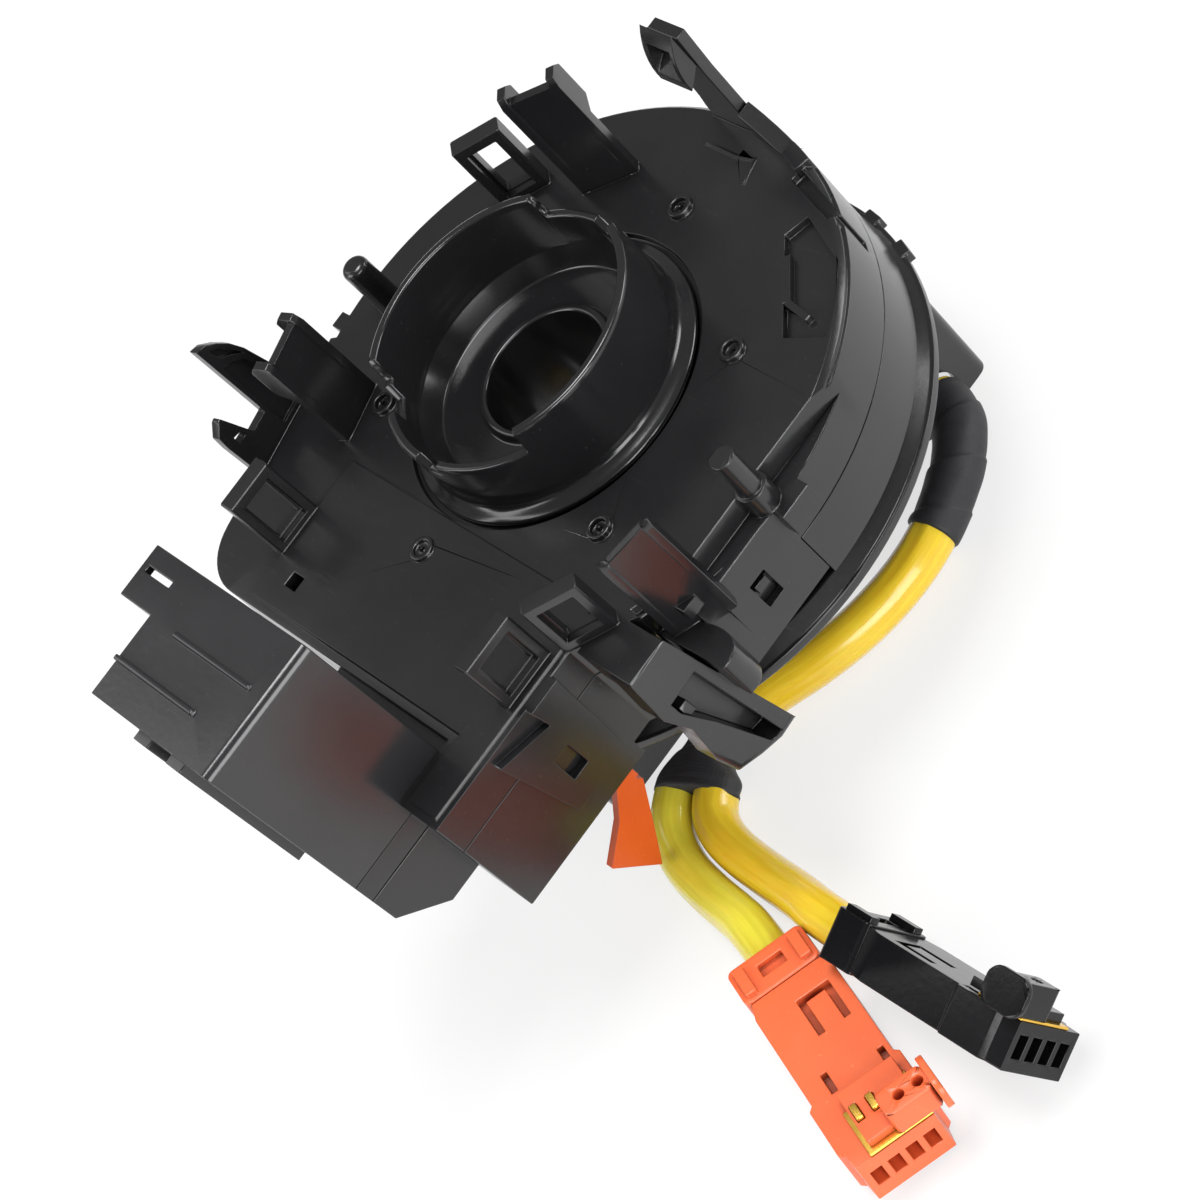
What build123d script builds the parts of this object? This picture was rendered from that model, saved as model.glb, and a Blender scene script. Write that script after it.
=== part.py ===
from build123d import *
import os
from math import cos, pi, radians, sin, tan

# Steering clock spring, seen from its column side.
# The shaft axis is Z, with +Z towards the column. The origin is on the shaft axis,
# in the top face of the housing plate. X runs across the connector block's front,
# and the block is on the -X side. The part lies on the pods of its wheel side.

# Shaft, hub and running fits
shaft_bore_radius = 11.0
bore_wall = 1.4
bore_lip = 1.4
barrel_radius = 23.0
barrel_wall = 2.0
rim_step = 0.9
foot_step = 2.3
hub_rim_radius = barrel_radius + rim_step
hub_foot_radius = hub_rim_radius + foot_step
hub_top = 16.8
hub_low_top = 12.0
hub_wall = 1.5
hub_cup_radius = 20.0
hub_floor = 1.2
hub_floor_thickness = 1.6
hub_foot_height = 1.6
foot_edge = 0.9
foot_bottom = -0.7
hub_edge = 0.4
hub_cup_depth = 4.0
hub_low_spans = [(130.0, 234.0), (-20.0, 29.0)]
hub_notches = [(134.0, 148.0), (178.0, 190.0), (-14.0, 2.0)]
hub_notch_z = 8.6
wedge_reach = 1.3
running_gap = 0.05
side_gap = 0.5

# Housing
plate_radius = 52.5
plate_thickness = 2.4
plate_step = 0.5
plate_step_z = -1.5
plate_chamfer = 0.8
wall = 1.8
drum_seam = -12.0
drum_bottom = -22.4
drum_floor = 1.8
seam_gap = 0.1
groove_room = 1.0
hub_groove_radius = hub_foot_radius + groove_room
hub_groove_depth = 1.2
collar_depth = 6.0
chord_y = -48.7
ledge_depth = 4.0
pad_height = 0.4
pad_edge_x = -27.5
pad_far_y = 27.0
pad_side_inset = 1.6
pad_front_inset = 1.2
plate_window = (-49.0, 20.2)
plate_window_size = (2.6, 3.0)

# Box on the -X side of the housing
box_left_x = -56.0
box_front_y = -39.7
box_far_angle = 103.0
box_corner_radius = 11.0
lobe_left_x = -68.0
lobe_far_y = -30.0
bevel_corner = (-35.1, -39.7)
bevel_end = (-25.4, -46.9)
bevel_inset_share = 0.35
box_inner_corners = [(-20.0, -20.0), (0.0, 30.0)]
box_seam = -7.2
box_bottom = -25.5

# Ring bosses on the plate
boss_count = 6
boss_circle_radius = 33.8
boss_radius = 2.2
boss_height = 0.5
boss_wall = 0.8
boss_dot_radius = 0.4

# Locating posts
left_post_centre = (-1.5, 44.2)
left_post_radius = 2.4
left_post_top = 11.0
left_post_round = 1.2
right_post_centre = (-0.3, -49.8)
right_post_radius = 2.1
right_post_top = 8.6
right_post_step = 0.7
right_post_step_top = 0.4

# Guide channels: place, direction, width and height
channel_thickness = 1.6
channel_rib = 1.5
channel_rib_proud = 0.4
channel_kick = 0.5
right_channel_place = (33.6, 18.3)
right_channel_direction = -45.7
right_channel_width = 10.6
right_channel_top = 23.5
right_channel_tip = 1.5
right_channel_reach = 3.6
right_channel_rib_bottom = 14.0
right_channel_crease = 11.5
left_channel_place = (-20.3, 33.7)
left_channel_direction = 17.0
left_channel_width = 10.8
left_channel_top = 20.8
left_channel_tip = 0.8
left_channel_reach = 4.0
left_channel_rib_bottom = 12.0
left_channel_crease = 10.0
near_channel_place = (-19.3, -50.9)
near_channel_direction = -29.0
near_channel_width = 10.6
near_channel_top = 15.2
near_channel_tip = 0.6
near_channel_slant = 1.2
near_channel_reach = 1.2
near_channel_rib_bottom = -7.0
near_channel_crease = 5.0
near_channel_bottom = -8.0

# Snap loops: place, direction, width, height, side and head width
loop_sill = 1.6
loop_step = 0.5
loop_chamfer = 0.3
loop_step_depth = 1.4
far_loop_depth = 3.4
near_loop_depth = 3.0
far_right_loop = ((25.7, 33.7), -36.5, 9.2, 15.2, 1.8, 1.9)
far_left_loop = ((-41.6, 28.4), 0.0, 9.6, 14.0, 1.7, 2.0)
near_right_loop = ((-30.9, -40.6), -35.5, 9.8, 11.6, 1.7, 1.7)
near_left_loop = ((-42.0, -35.5), 0.0, 10.7, 11.6, 1.8, 1.7)

# Hooded hook at the +X side: blade seen along X, catch seen along Y
hook_inset = 0.5
hook_thickness = 2.0
hook_outer_x = plate_radius - hook_inset
hook_blade_x = (hook_outer_x - hook_thickness, hook_outer_x)
hook_blade_outline = [
    (7.5, -1.8),
    (6.9, 3.0),
    (6.0, 6.0),
    (4.9, 16.0),
    (3.4, 23.0),
    (1.9, 26.0),
    (-5.5, 26.0),
    (-4.2, 16.0),
    (-3.9, 6.0),
    (-4.0, -1.8),
]
hook_top = 26.0
hook_reach = 3.3
hook_bulge_reach = 2.5
hook_tip = (hook_blade_x[0] - hook_reach, 16.0)
hook_bulge = (hook_blade_x[0] - hook_bulge_reach, 21.6)
hook_root_z = 18.5
hook_span = (-4.2, 4.0)
hook_wall = 1.2
gusset_thickness = 2.9
gusset_inner_radius = plate_radius - gusset_thickness
gusset_top = 6.0
gusset_near_y = -12.5
gusset_base = -1.8
rim_wall_height = 1.0
rim_wall_span = (-20.0, -14.0)
hook_mark_span = ((45.3, 4.5), (45.2, -4.0), (46.0, -7.2), (41.5, -8.3))
hook_mark_width = 0.6
hook_mark_height = 0.3

# Fin and low hook on the box's far wall, seen from the hub along the wall
fin_place = (-26.0, 47.3)
fin_direction = 13.0
fin_thickness = 1.8
fin_relief = 0.7
fin_outline = [
    (-3.0, -2.0),
    (-3.2, 24.0),
    (-1.4, 23.3),
    (0.4, 21.3),
    (1.8, 19.1),
    (2.9, 16.0),
    (3.9, 10.2),
    (4.4, 4.0),
    (4.5, -2.0),
]
fin_groove = [(-1.6, 21.9), (-0.2, 20.6), (1.2, 18.0), (2.2, 15.6), (0.6, 17.6), (-1.2, 19.4)]
fin_hollow = [(-2.1, 17.6), (-0.4, 17.0), (1.3, 15.0), (2.5, 11.0), (3.2, 6.0), (3.4, 1.0), (-2.2, 1.0)]
low_hook_outline = [
    (-11.7, -2.0),
    (-12.0, 8.5),
    (-11.8, 11.3),
    (-9.8, 13.1),
    (-9.1, 13.2),
    (-6.9, 5.8),
    (-3.0, 5.8),
    (-3.0, -2.0),
]
low_hook_hole = [(-10.0, 8.7), (-8.4, 8.2), (-8.5, 7.0), (-10.0, 7.1)]

# Slot, pocket and small forms on the plate
slot_start = (46.4, -16.9)
slot_end = (42.9, -28.8)
slot_width = 2.2
slot_depth = 1.4
side_groove_angle = -34.6
side_groove_depth = 0.8
side_groove_bottom = -9.0
pocket_depth = 1.3
pocket_outline = [(36.8, -23.0), (41.0, -24.7), (36.6, -35.6), (30.6, -40.6), (25.2, -43.6), (22.1, -36.2)]
pocket_rib = [(34.1, -26.0), (27.4, -32.2), (26.6, -38.0)]
pocket_rib_width = 1.2
side_tab = (-19.7, -51.0, -3.5)
side_tab_size = (3.0, 4.0, 2.6)
step_block = (1.85, -53.3, -9.0)
step_block_size = (6.3, 3.4, 5.0)
far_ears = [(-8.4, 51.2, -3.0), (-16.4, 49.6, -3.0)]
far_ear_size = (3.0, 3.4, 3.0)

# Vehicle connector block
block_left_x = -82.0
block_right_x = -58.2
block_front_y = -30.0
block_mouth_y = 3.0
block_lip_y = 11.8
block_lip_width = 9.3
block_top = 33.2
block_wall = 1.6
block_base_thickness = 4.3
block_base_top = -3.2
block_bottom = -21.0
block_bottom_bevel = 7.4
block_front_round = 1.6
lip_slot = (-62.1, 6.9)
lip_slot_size = (1.1, 7.0)
top_step_x = -67.8
top_step_size = (0.8, 21.0, 0.5)
top_rib_x = -75.5
top_rib_size = (0.9, 22.0, 0.7)
side_rib_places = (-11.3, -20.5)
side_rib_reach = 1.6
side_rib_width = 4.0
side_rib_bottom = 2.5

# Wheel-side rotor
disc_overhang = 1.5
disc_clearance = 1.6
disc_radius = plate_radius + disc_overhang
rotor_clearance_radius = disc_radius + disc_clearance
disc_inner_top = -23.0
disc_rim_top = -25.0
disc_bottom = -27.2
disc_rim_width = 2.6
disc_edge = 0.6
floor_z = -55.5
right_pod = (31.0, 48.0, -21.0, 21.0)
left_pod = (-46.5, -27.5, -15.0, 15.0)
pod_wall = 1.6
pod_corner_radius = 2.0
pod_socket_depth = 16.0
rim_lug_angles = [-10.6, -21.3]
rim_lug_size = (3.0, 3.4, 2.4)

# Winding drum of the rotor, inside the housing
winding_wall = 2.0
collar_wall = 2.25
winding_radius = barrel_radius + winding_wall
collar_radius = barrel_radius + collar_wall
winding_top = -6.8
hole_room = 2.8
rotor_hole_radius = winding_radius + hole_room

# Flat cable
cable_turns = 4.5
cable_room = 1.3
cable_end_room = 4.4
cable_inner_radius = winding_radius + cable_room
cable_thickness = 0.8
cable_height = 12.6
cable_gap = 0.6
sheet_thickness = 0.3
sheet_room = 2.3
sheet_clearance = 1.0
sheet_radius = plate_radius - wall - sheet_room
inner_block_length = 5.0
inner_block_share = 0.94
inner_block_reach = 0.9
outer_block_length = 8.0
outer_block_width = 3.4
outer_block_round = 0.8

# Leads
sleeve_radius = 3.7
arc_share = 0.45
tape_thickness = 0.45
tape_gap = 0.15
pod_tape_shares = (0.12, 0.4)
branch_tape_shares = (0.4, 0.94)
exit_room = 0.3

# Latches between the two housings
latch_panel_x = -10.5
latch_panel_inset = 0.2
latch_panel_y = latch_panel_inset - plate_radius
latch_panel_top = -4.0
latch_panel_bottom = -21.0
latch_panel_width = 19.0
latch_panel_thickness = 1.5
latch_window_x = -10.0
latch_window_z = -12.8
latch_window_width = 3.4
latch_window_height = 6.0
catch_reach = 1.4
catch_height = 1.8
catch_room = 0.8
catch_rise = 1.0
tongue_thickness = 1.5
tongue_outline = [(-46.0, 0.0), (-45.4, -4.5), (-55.2, -1.7), (-52.4, -20.3), (-40.5, -19.7), (-39.6, 0.0)]
tongue_window = (-47.6, -12.6)
tongue_window_size = (3.4, 5.6)

# Scoop bracket: its face leans outwards, and its outline is given as X and distance up the face
scoop_place_y = -54.0
scoop_lean = 15.64
scoop_depth = 7.5
scoop_round = 1.2
scoop_pocket_depth = 6.2
scoop_outline = [
    (-26.4, 0.0),
    (-34.7, -0.5),
    (-35.5, -8.4),
    (-33.8, -13.0),
    (-35.0, -20.0),
    (-34.1, -24.1),
    (-30.0, -25.6),
    (-26.1, -26.6),
    (-22.5, -26.4),
]
scoop_opening = [
    (-27.0, -7.4),
    (-25.4, -25.3),
    (-27.6, -25.0),
    (-30.6, -15.6),
    (-33.0, -9.8),
    (-33.0, -7.65),
]
scoop_shelf = [(-41.0, 0.0), (-54.0, 0.0), (-55.7, -7.0), (-42.0, -7.0)]
scoop_shelf_x = (-34.6, -26.5)
scoop_step = (-31.8, -10.6)
scoop_step_size = (1.8, 2.4)
ear_outline = [
    (-25.2, -46.0),
    (-21.6, -49.2),
    (-20.0, -53.0),
    (-19.6, -57.0),
    (-21.0, -60.6),
    (-24.6, -61.4),
]
ear_top = -6.0
ear_height = 8.0

# Sockets and pins of the vehicle connector block
socket_rooms = [(-80.4, -69.8), (-66.2, -59.8)]
socket_backs = [-18.0, -14.0]
socket_floor = 2.0
socket_roof = 31.6
socket_round = 0.8
pin_size = 0.8
pin_length = 8.0
pin_pitch_x = 3.6
pin_pitch_z = 4.0
pin_rows = [-2.5, -1.5, -0.5, 0.5, 1.5, 2.5]

# Pins of the wheel-side socket
wheel_pin_size = 1.0
wheel_pin_length = 9.0
wheel_pin_pitch = 5.0

# Lock tab on the left pod
tab_y = -34.4
tab_thickness = 1.6
tab_arm = (-46.0, -42.0)
tab_arm_height = 4.0
tab_outline = [
    (-44.8, -27.6),
    (-42.0, -32.5),
    (-46.3, -40.4),
    (-50.4, -47.6),
    (-56.0, -38.9),
    (-49.6, -34.0),
]

# Leads: bundle from the right pod to the second tape, then one branch to each connector
bundle_radius = 4.0
lead_z = -50.8
lead_exit_x = 38.0
bundle_route = [
    (lead_exit_x, -21.0, lead_z),
    (37.2, -26.4, lead_z),
    (32.0, -31.8, lead_z),
    (23.6, -36.2, lead_z),
    (13.0, -38.8, lead_z),
    (1.6, -38.0, lead_z),
    (-9.2, -34.4, lead_z),
    (-18.2, -29.4, lead_z),
    (-25.6, -26.8, lead_z),
    (-31.9, -26.9, lead_z),
    (-36.2, -29.0, lead_z),
]

# Squib connectors at the ends of the leads, along X from the rear and across Y
connector_width = 14.4
connector_swell = 0.8
orange_thickness = 9.2
orange_rear = (-53.2, -65.5)
orange_heading = -106.62
orange_roll = 9.0
orange_length = 43.0
orange_middle_z = -49.3
black_thickness = 7.6
black_rear = (-43.3, -77.0)
black_heading = -89.0
black_length = 40.0
black_roll = 72.0
black_middle_z = -46.6
cap_length = 7.4
cap_width = 13.6
cap_shift = -0.35
cap_wall = 0.3
cap_recess = (2.5, 4.4)
cap_recess_depth = 1.2
cap_arm_width = 1.8
cap_arm_height = 0.9
latch_slot_width = 1.2
latch_slot_depth = 1.6
latch_slot_start = 11.8
latch_slot_end = 19.5
latch_slot_across = (0.0, 4.6)
side_slots = ((27.6, -3.2), (29.6, 5.8))
side_slot_size = (4.0, 1.1)
plug_step = 3.0
contact_opening_size = (2.0, 3.6)
contact_opening_depth = 5.0
contact_opening_pitch = 3.1
plug_edge = 0.4
swell_share = 0.68
nose_back = 11.4
nose_base_length = 10.2
nose_base_shift = 1.6
nose_base_width = 9.8
nose_base_rise = 1.5
core_back = 4.8
core_across = (1.1, 9.0)
core_rise = 3.6
core_hole_radius = 0.9
core_hole_pitch = 3.3
core_hole_depth = 3.0
flange_thickness = 1.1
flange_width = 8.4
flange_round = 2.4
core_hole_shift = 0.9
leaf_thickness = 0.5
leaf_back = 9.0
leaf_width = 11.0
leaf_shift = 1.4
tab_back = 6.6
tab_across = (-2.2, 0.6)
tab_size = (3.0, 1.1)
orange_route = [
    (-37.92, -25.50, -51.0),
    (-42.31, -27.65, -51.0),
    (-46.4, -31.6, -51.5),
    (-48.8, -37.4, -51.8),
    (-49.8, -44.6, -51.8),
    (-50.3, -51.4, -50.9),
    (-50.97, -58.03, -49.3),
    (-53.2, -65.5, -49.3),
]
black_route = [
    (-34.55, -32.42, -51.0),
    (-38.32, -34.26, -51.0),
    (-41.0, -38.3, -51.4),
    (-42.1, -44.2, -51.7),
    (-42.4, -52.5, -51.4),
    (-42.6, -61.5, -49.4),
    (-43.42, -69.5, -46.6),
    (-43.3, -77.0, -46.6),
]

os.makedirs("parts", exist_ok=True)


def finish(builder, label):
    """Label one finished piece and write it."""
    builder.part.label = label
    export_step(builder.part, f"parts/{label}.step")


def polar(radius, angle):
    """A point at an angle in degrees from +X."""
    return (radius * cos(radians(angle)), radius * sin(radians(angle)))


def sector(radius, start, end):
    """Corners of a wedge that holds a circle's sector from start to end."""
    steps = 4
    reach = radius * wedge_reach
    span = [start + (end - start) * k / steps for k in range(steps + 1)]
    return [(0, 0)] + [polar(reach, angle) for angle in span]


def tangent_plane(centre, direction, z=0.0):
    """Plane standing on the plate: its X runs along direction, its Y is up, its Z faces the camera side."""
    along = radians(direction)
    return Plane(
        origin=(centre[0], centre[1], z),
        x_dir=(cos(along), sin(along), 0),
        z_dir=(sin(along), -cos(along), 0),
    )


def box_outline(inset=0.0):
    """Outline of the box on the -X side, drawn inwards by inset, closed inside the drum."""
    touch = polar(plate_radius - inset, box_far_angle)
    slope = tan(radians(box_far_angle - 90))
    left = box_left_x + inset
    corner = (left, touch[1] - (touch[0] - left) * slope)
    lobe_left = lobe_left_x + inset
    front = box_front_y + inset
    bevel_slope = (bevel_end[1] - bevel_corner[1]) / (bevel_end[0] - bevel_corner[0])
    bevel_front = (bevel_corner[0] + inset * bevel_inset_share, front)
    bevel_in = (bevel_end[0], bevel_front[1] + (bevel_end[0] - bevel_front[0]) * bevel_slope)
    return [
        touch,
        corner,
        (left, lobe_far_y - inset),
        (lobe_left, lobe_far_y - inset),
        (lobe_left, front),
        bevel_front,
        bevel_in,
        *box_inner_corners,
    ]


def box_face(inset=0.0):
    """The box outline as a face, with its far corner rounded."""
    with BuildSketch() as face:
        with BuildLine():
            Polyline(*box_outline(inset), close=True)
        make_face()
        far_corner = face.vertices().sort_by_distance((box_left_x, 43, 0))[0]
        fillet(far_corner, box_corner_radius - inset)
    return face.sketch


def solid_of(plane, outline, depth):
    """A flat form: a closed outline on a plane, thickened by depth."""
    with BuildPart() as form:
        with BuildSketch(plane):
            with BuildLine():
                Polyline(*outline, close=True)
            make_face()
        extrude(amount=depth)
    return form.part


def box_at(place, size, align=(Align.CENTER, Align.CENTER, Align.MIN)):
    """A box with its bottom face's middle at a place."""
    with BuildPart() as block:
        with Locations(place):
            Box(*size, align=align)
    return block.part


def bar(start, end, width, z, height):
    """A straight bar between two points of a level plane."""
    along = Vector(*end) - Vector(*start)
    middle = (Vector(*start) + Vector(*end)) * 0.5
    plane = Plane(origin=(middle.X, middle.Y, z), x_dir=along.normalized(), z_dir=(0, 0, 1))
    with BuildPart() as strip:
        with BuildSketch(plane):
            Rectangle(along.length, width)
        extrude(amount=height)
    return strip.part


def channel(place, direction, width, top, tip, reach, rib_bottom, crease, slant=0.0, base=0.0):
    """A guide channel: an upright tongue with a rail in front and a rib behind along each side."""
    face = tangent_plane(place, direction)
    front = channel_thickness / 2
    inner = width / 2 - channel_rib
    side = Plane(origin=face.origin, x_dir=-face.z_dir, z_dir=face.x_dir)
    with BuildPart() as guide:
        add(
            solid_of(
                face.offset(-front),
                [(-inner, base), (inner, base), (inner, top + slant), (-inner, top - slant)],
                channel_thickness,
            )
        )
        # The tongue's lower part leans forward a little
        kick = [(-front, crease), (-front - channel_kick, base), (-front, base)]
        add(solid_of(side.offset(-inner), kick, 2 * inner))
        for start, rise in ((-width / 2, -slant), (inner, slant)):
            tip_z = top + rise + tip
            with BuildSketch(side.offset(start)):
                with BuildLine():
                    Polyline(
                        (-front - channel_rib_proud, base),
                        (-front - channel_rib_proud, tip_z - channel_rib),
                        (-front + channel_rib_proud, tip_z),
                        (reach - channel_rib, tip_z),
                        (reach, tip_z - channel_rib),
                        (reach, rib_bottom + channel_rib),
                        (front, rib_bottom),
                        (front, base),
                        close=True,
                    )
                make_face()
            extrude(amount=channel_rib)
    return guide.part


def loop(centre, direction, width, height, jamb, head, depth):
    """A snap loop: an upright frame whose window narrows by a step behind its front face."""
    face = tangent_plane(centre, direction)
    window_height = height - head - loop_sill
    with BuildPart() as frame:
        with BuildSketch(face.offset(-depth / 2)):
            with Locations((0, height / 2)):
                Rectangle(width, height)
            with Locations((0, loop_sill + window_height / 2)):
                Rectangle(width - 2 * jamb - 2 * loop_step, window_height - loop_step, mode=Mode.SUBTRACT)
        extrude(amount=depth)
        with BuildSketch(face.offset(depth / 2)):
            with Locations((0, loop_sill + window_height / 2)):
                Rectangle(width - 2 * jamb, window_height)
        extrude(amount=-loop_step_depth, mode=Mode.SUBTRACT)
        chamfer(frame.edges().filter_by(Axis.Z).group_by(Axis.Z)[-1], loop_chamfer)
    return frame.part


# Rear housing: plate, upper drum wall, upper box wall and everything that stands on it
with BuildPart() as rear_housing:
    with BuildSketch(Plane.XY.offset(drum_seam)):
        Circle(plate_radius)
    extrude(amount=plate_step_z - drum_seam)
    with BuildSketch(Plane.XY.offset(plate_step_z)):
        Circle(plate_radius - plate_step)
    extrude(amount=-plate_step_z)
    chamfer(rear_housing.edges().group_by(Axis.Z)[-1], plate_chamfer)
    with BuildSketch(Plane.XY.offset(box_seam)):
        add(box_face())
    extrude(amount=-box_seam)
    with BuildSketch(Plane.XY.offset(-ledge_depth)):
        with Locations((0, chord_y - 10)):
            Rectangle(80, 20)
    extrude(amount=ledge_depth, mode=Mode.SUBTRACT)
    # Hollow inside: below the ledge, above it, and in the box
    with BuildSketch(Plane.XY.offset(drum_seam)):
        Circle(plate_radius - wall)
    extrude(amount=-drum_seam - ledge_depth - wall, mode=Mode.SUBTRACT)
    with BuildSketch(Plane.XY.offset(-ledge_depth - wall)):
        Circle(plate_radius - wall)
        with Locations((0, chord_y + wall - 10)):
            Rectangle(110, 20, mode=Mode.SUBTRACT)
    extrude(amount=ledge_depth + wall - plate_thickness, mode=Mode.SUBTRACT)
    with BuildSketch(Plane.XY.offset(box_seam)):
        add(box_face(wall))
        Circle(plate_radius, mode=Mode.SUBTRACT)
    extrude(amount=-box_seam - plate_thickness, mode=Mode.SUBTRACT)
    # Raised pad over the box
    with BuildSketch(Plane.XY):
        with BuildLine():
            Polyline(
                (box_left_x + pad_side_inset, pad_far_y),
                (pad_edge_x, pad_far_y),
                (pad_edge_x, box_front_y + pad_front_inset),
                (lobe_left_x + pad_front_inset, box_front_y + pad_front_inset),
                (lobe_left_x + pad_front_inset, lobe_far_y - pad_side_inset),
                (box_left_x + pad_side_inset, lobe_far_y - pad_side_inset),
                close=True,
            )
        make_face()
    extrude(amount=pad_height)
    # Ledge under the connector block
    with Locations(((block_left_x + box_left_x) / 2, (block_front_y + block_mouth_y) / 2, block_base_top)):
        Box(
            box_left_x - block_left_x,
            block_mouth_y - block_front_y,
            block_base_thickness,
            align=(Align.CENTER, Align.CENTER, Align.MAX),
        )
    # Collar for the rotor barrel, then the groove round the hub's foot
    with BuildSketch(Plane.XY.offset(-collar_depth)):
        Circle(collar_radius)
    extrude(amount=collar_depth)
    with BuildSketch(Plane.XY.offset(-collar_depth)):
        Circle(barrel_radius + running_gap)
    extrude(amount=collar_depth + 2, mode=Mode.SUBTRACT)
    with BuildSketch(Plane.XY.offset(-hub_groove_depth)):
        Circle(hub_groove_radius)
    extrude(amount=hub_groove_depth + 2, mode=Mode.SUBTRACT)
    # Ring bosses
    with BuildSketch(Plane.XY):
        with PolarLocations(boss_circle_radius, boss_count):
            Circle(boss_radius)
            Circle(boss_radius - boss_wall, mode=Mode.SUBTRACT)
            Circle(boss_dot_radius)
    extrude(amount=boss_height + pad_height)
    # Small window through the plate
    with Locations((*plate_window, -plate_thickness / 2)):
        Box(*plate_window_size, 2 * plate_thickness, mode=Mode.SUBTRACT)
    # Slot to the rim with a groove down the drum's side, and the ribbed pocket
    add(bar(slot_start, slot_end, slot_width, -slot_depth, 2 * slot_depth), mode=Mode.SUBTRACT)
    groove_from = polar(plate_radius - side_groove_depth, side_groove_angle)
    groove_to = polar(plate_radius + side_groove_depth, side_groove_angle)
    add(bar(groove_from, groove_to, slot_width, side_groove_bottom, -side_groove_bottom), mode=Mode.SUBTRACT)
    add(solid_of(Plane.XY.offset(-pocket_depth), pocket_outline, 2 * pocket_depth), mode=Mode.SUBTRACT)
    for start, end in zip(pocket_rib, pocket_rib[1:]):
        add(bar(start, end, pocket_rib_width, -pocket_depth, pocket_depth))
    # Locating posts
    with BuildSketch(Plane.XY):
        with Locations(left_post_centre):
            Circle(left_post_radius)
    extrude(amount=left_post_top)
    fillet(rear_housing.edges().filter_by(GeomType.CIRCLE).group_by(Axis.Z)[-1], left_post_round)
    with BuildSketch(Plane.XY.offset(-ledge_depth)):
        with Locations(right_post_centre):
            Circle(right_post_radius)
    extrude(amount=ledge_depth + right_post_top)
    with BuildSketch(Plane.XY.offset(-ledge_depth)):
        with Locations(right_post_centre):
            Circle(right_post_radius + right_post_step)
    extrude(amount=ledge_depth + right_post_step_top)
    # Latch panel on the drum's side, with the window for the front cover's catch
    with Locations((latch_panel_x, latch_panel_y, latch_panel_top)):
        Box(
            latch_panel_width,
            latch_panel_thickness,
            latch_panel_top - latch_panel_bottom,
            align=(Align.CENTER, Align.MIN, Align.MAX),
        )
    with Locations((latch_window_x, latch_panel_y, latch_window_z)):
        Box(latch_window_width, 3 * latch_panel_thickness, latch_window_height, mode=Mode.SUBTRACT)
    # Box latch tongue on the front wall
    with BuildSketch(Plane.XZ.offset(-box_front_y)):
        with BuildLine():
            Polyline(*tongue_outline, close=True)
        make_face()
        with Locations(tongue_window):
            Rectangle(*tongue_window_size, mode=Mode.SUBTRACT)
    extrude(amount=tongue_thickness)
    # Guide channels
    add(
        channel(
            right_channel_place,
            right_channel_direction,
            right_channel_width,
            right_channel_top,
            right_channel_tip,
            right_channel_reach,
            right_channel_rib_bottom,
            right_channel_crease,
        )
    )
    add(
        channel(
            left_channel_place,
            left_channel_direction,
            left_channel_width,
            left_channel_top,
            left_channel_tip,
            left_channel_reach,
            left_channel_rib_bottom,
            left_channel_crease,
        )
    )
    add(
        channel(
            near_channel_place,
            near_channel_direction,
            near_channel_width,
            near_channel_top,
            near_channel_tip,
            near_channel_reach,
            near_channel_rib_bottom,
            near_channel_crease,
            near_channel_slant,
            near_channel_bottom,
        )
    )
    # Snap loops
    add(loop(*far_right_loop, far_loop_depth))
    add(loop(*far_left_loop, far_loop_depth))
    add(loop(*near_right_loop, near_loop_depth))
    add(loop(*near_left_loop, near_loop_depth))
    # Hooded hook: a tapered blade with a hollow catch on its hub side
    add(solid_of(Plane.YZ.offset(hook_blade_x[0]), hook_blade_outline, hook_blade_x[1] - hook_blade_x[0]))
    with BuildSketch(Plane.XZ.offset(-hook_span[1])):
        with BuildLine():
            Line((hook_blade_x[0], hook_root_z), (hook_blade_x[0], hook_top))
            ThreePointArc((hook_blade_x[0], hook_top), hook_bulge, hook_tip)
            Line(hook_tip, (hook_blade_x[0], hook_root_z))
        make_face()
    extrude(amount=hook_span[1] - hook_span[0])
    hook_hollow = [
        (hook_blade_x[0] - hook_wall / 2, hook_top - 2 * hook_wall),
        (hook_blade_x[0] - hook_wall / 2, hook_root_z + hook_wall),
        (hook_tip[0] - hook_wall, hook_tip[1] + hook_wall),
        (hook_tip[0] - hook_wall, hook_top - 2 * hook_wall),
    ]
    hollow_width = hook_span[1] - hook_span[0] - 2 * hook_wall
    add(solid_of(Plane.XZ.offset(hook_wall - hook_span[1]), hook_hollow, hollow_width), mode=Mode.SUBTRACT)
    # Gusset beside the hook and the low wall on the rim
    with BuildPart() as gusset:
        with BuildSketch(Plane.XY.offset(gusset_base)):
            Circle(plate_radius)
            Circle(gusset_inner_radius, mode=Mode.SUBTRACT)
        extrude(amount=gusset_top - gusset_base)
        with BuildSketch(Plane.YZ.offset(0)):
            with BuildLine():
                Polyline(
                    (hook_span[0], gusset_base),
                    (hook_span[0], gusset_top),
                    (gusset_near_y, 0),
                    (gusset_near_y, gusset_base),
                    close=True,
                )
            make_face()
        extrude(amount=2 * plate_radius, mode=Mode.INTERSECT)
    add(gusset.part)
    with BuildSketch(Plane.XY.offset(gusset_base)):
        with BuildLine():
            Polyline(*sector(plate_radius, *rim_wall_span), close=True)
        make_face()
        Circle(gusset_inner_radius, mode=Mode.SUBTRACT)
        Circle(plate_radius, mode=Mode.INTERSECT)
    extrude(amount=rim_wall_height - gusset_base)
    for start, end in zip(hook_mark_span, hook_mark_span[1:]):
        add(bar(start, end, hook_mark_width, 0, hook_mark_height))
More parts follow.
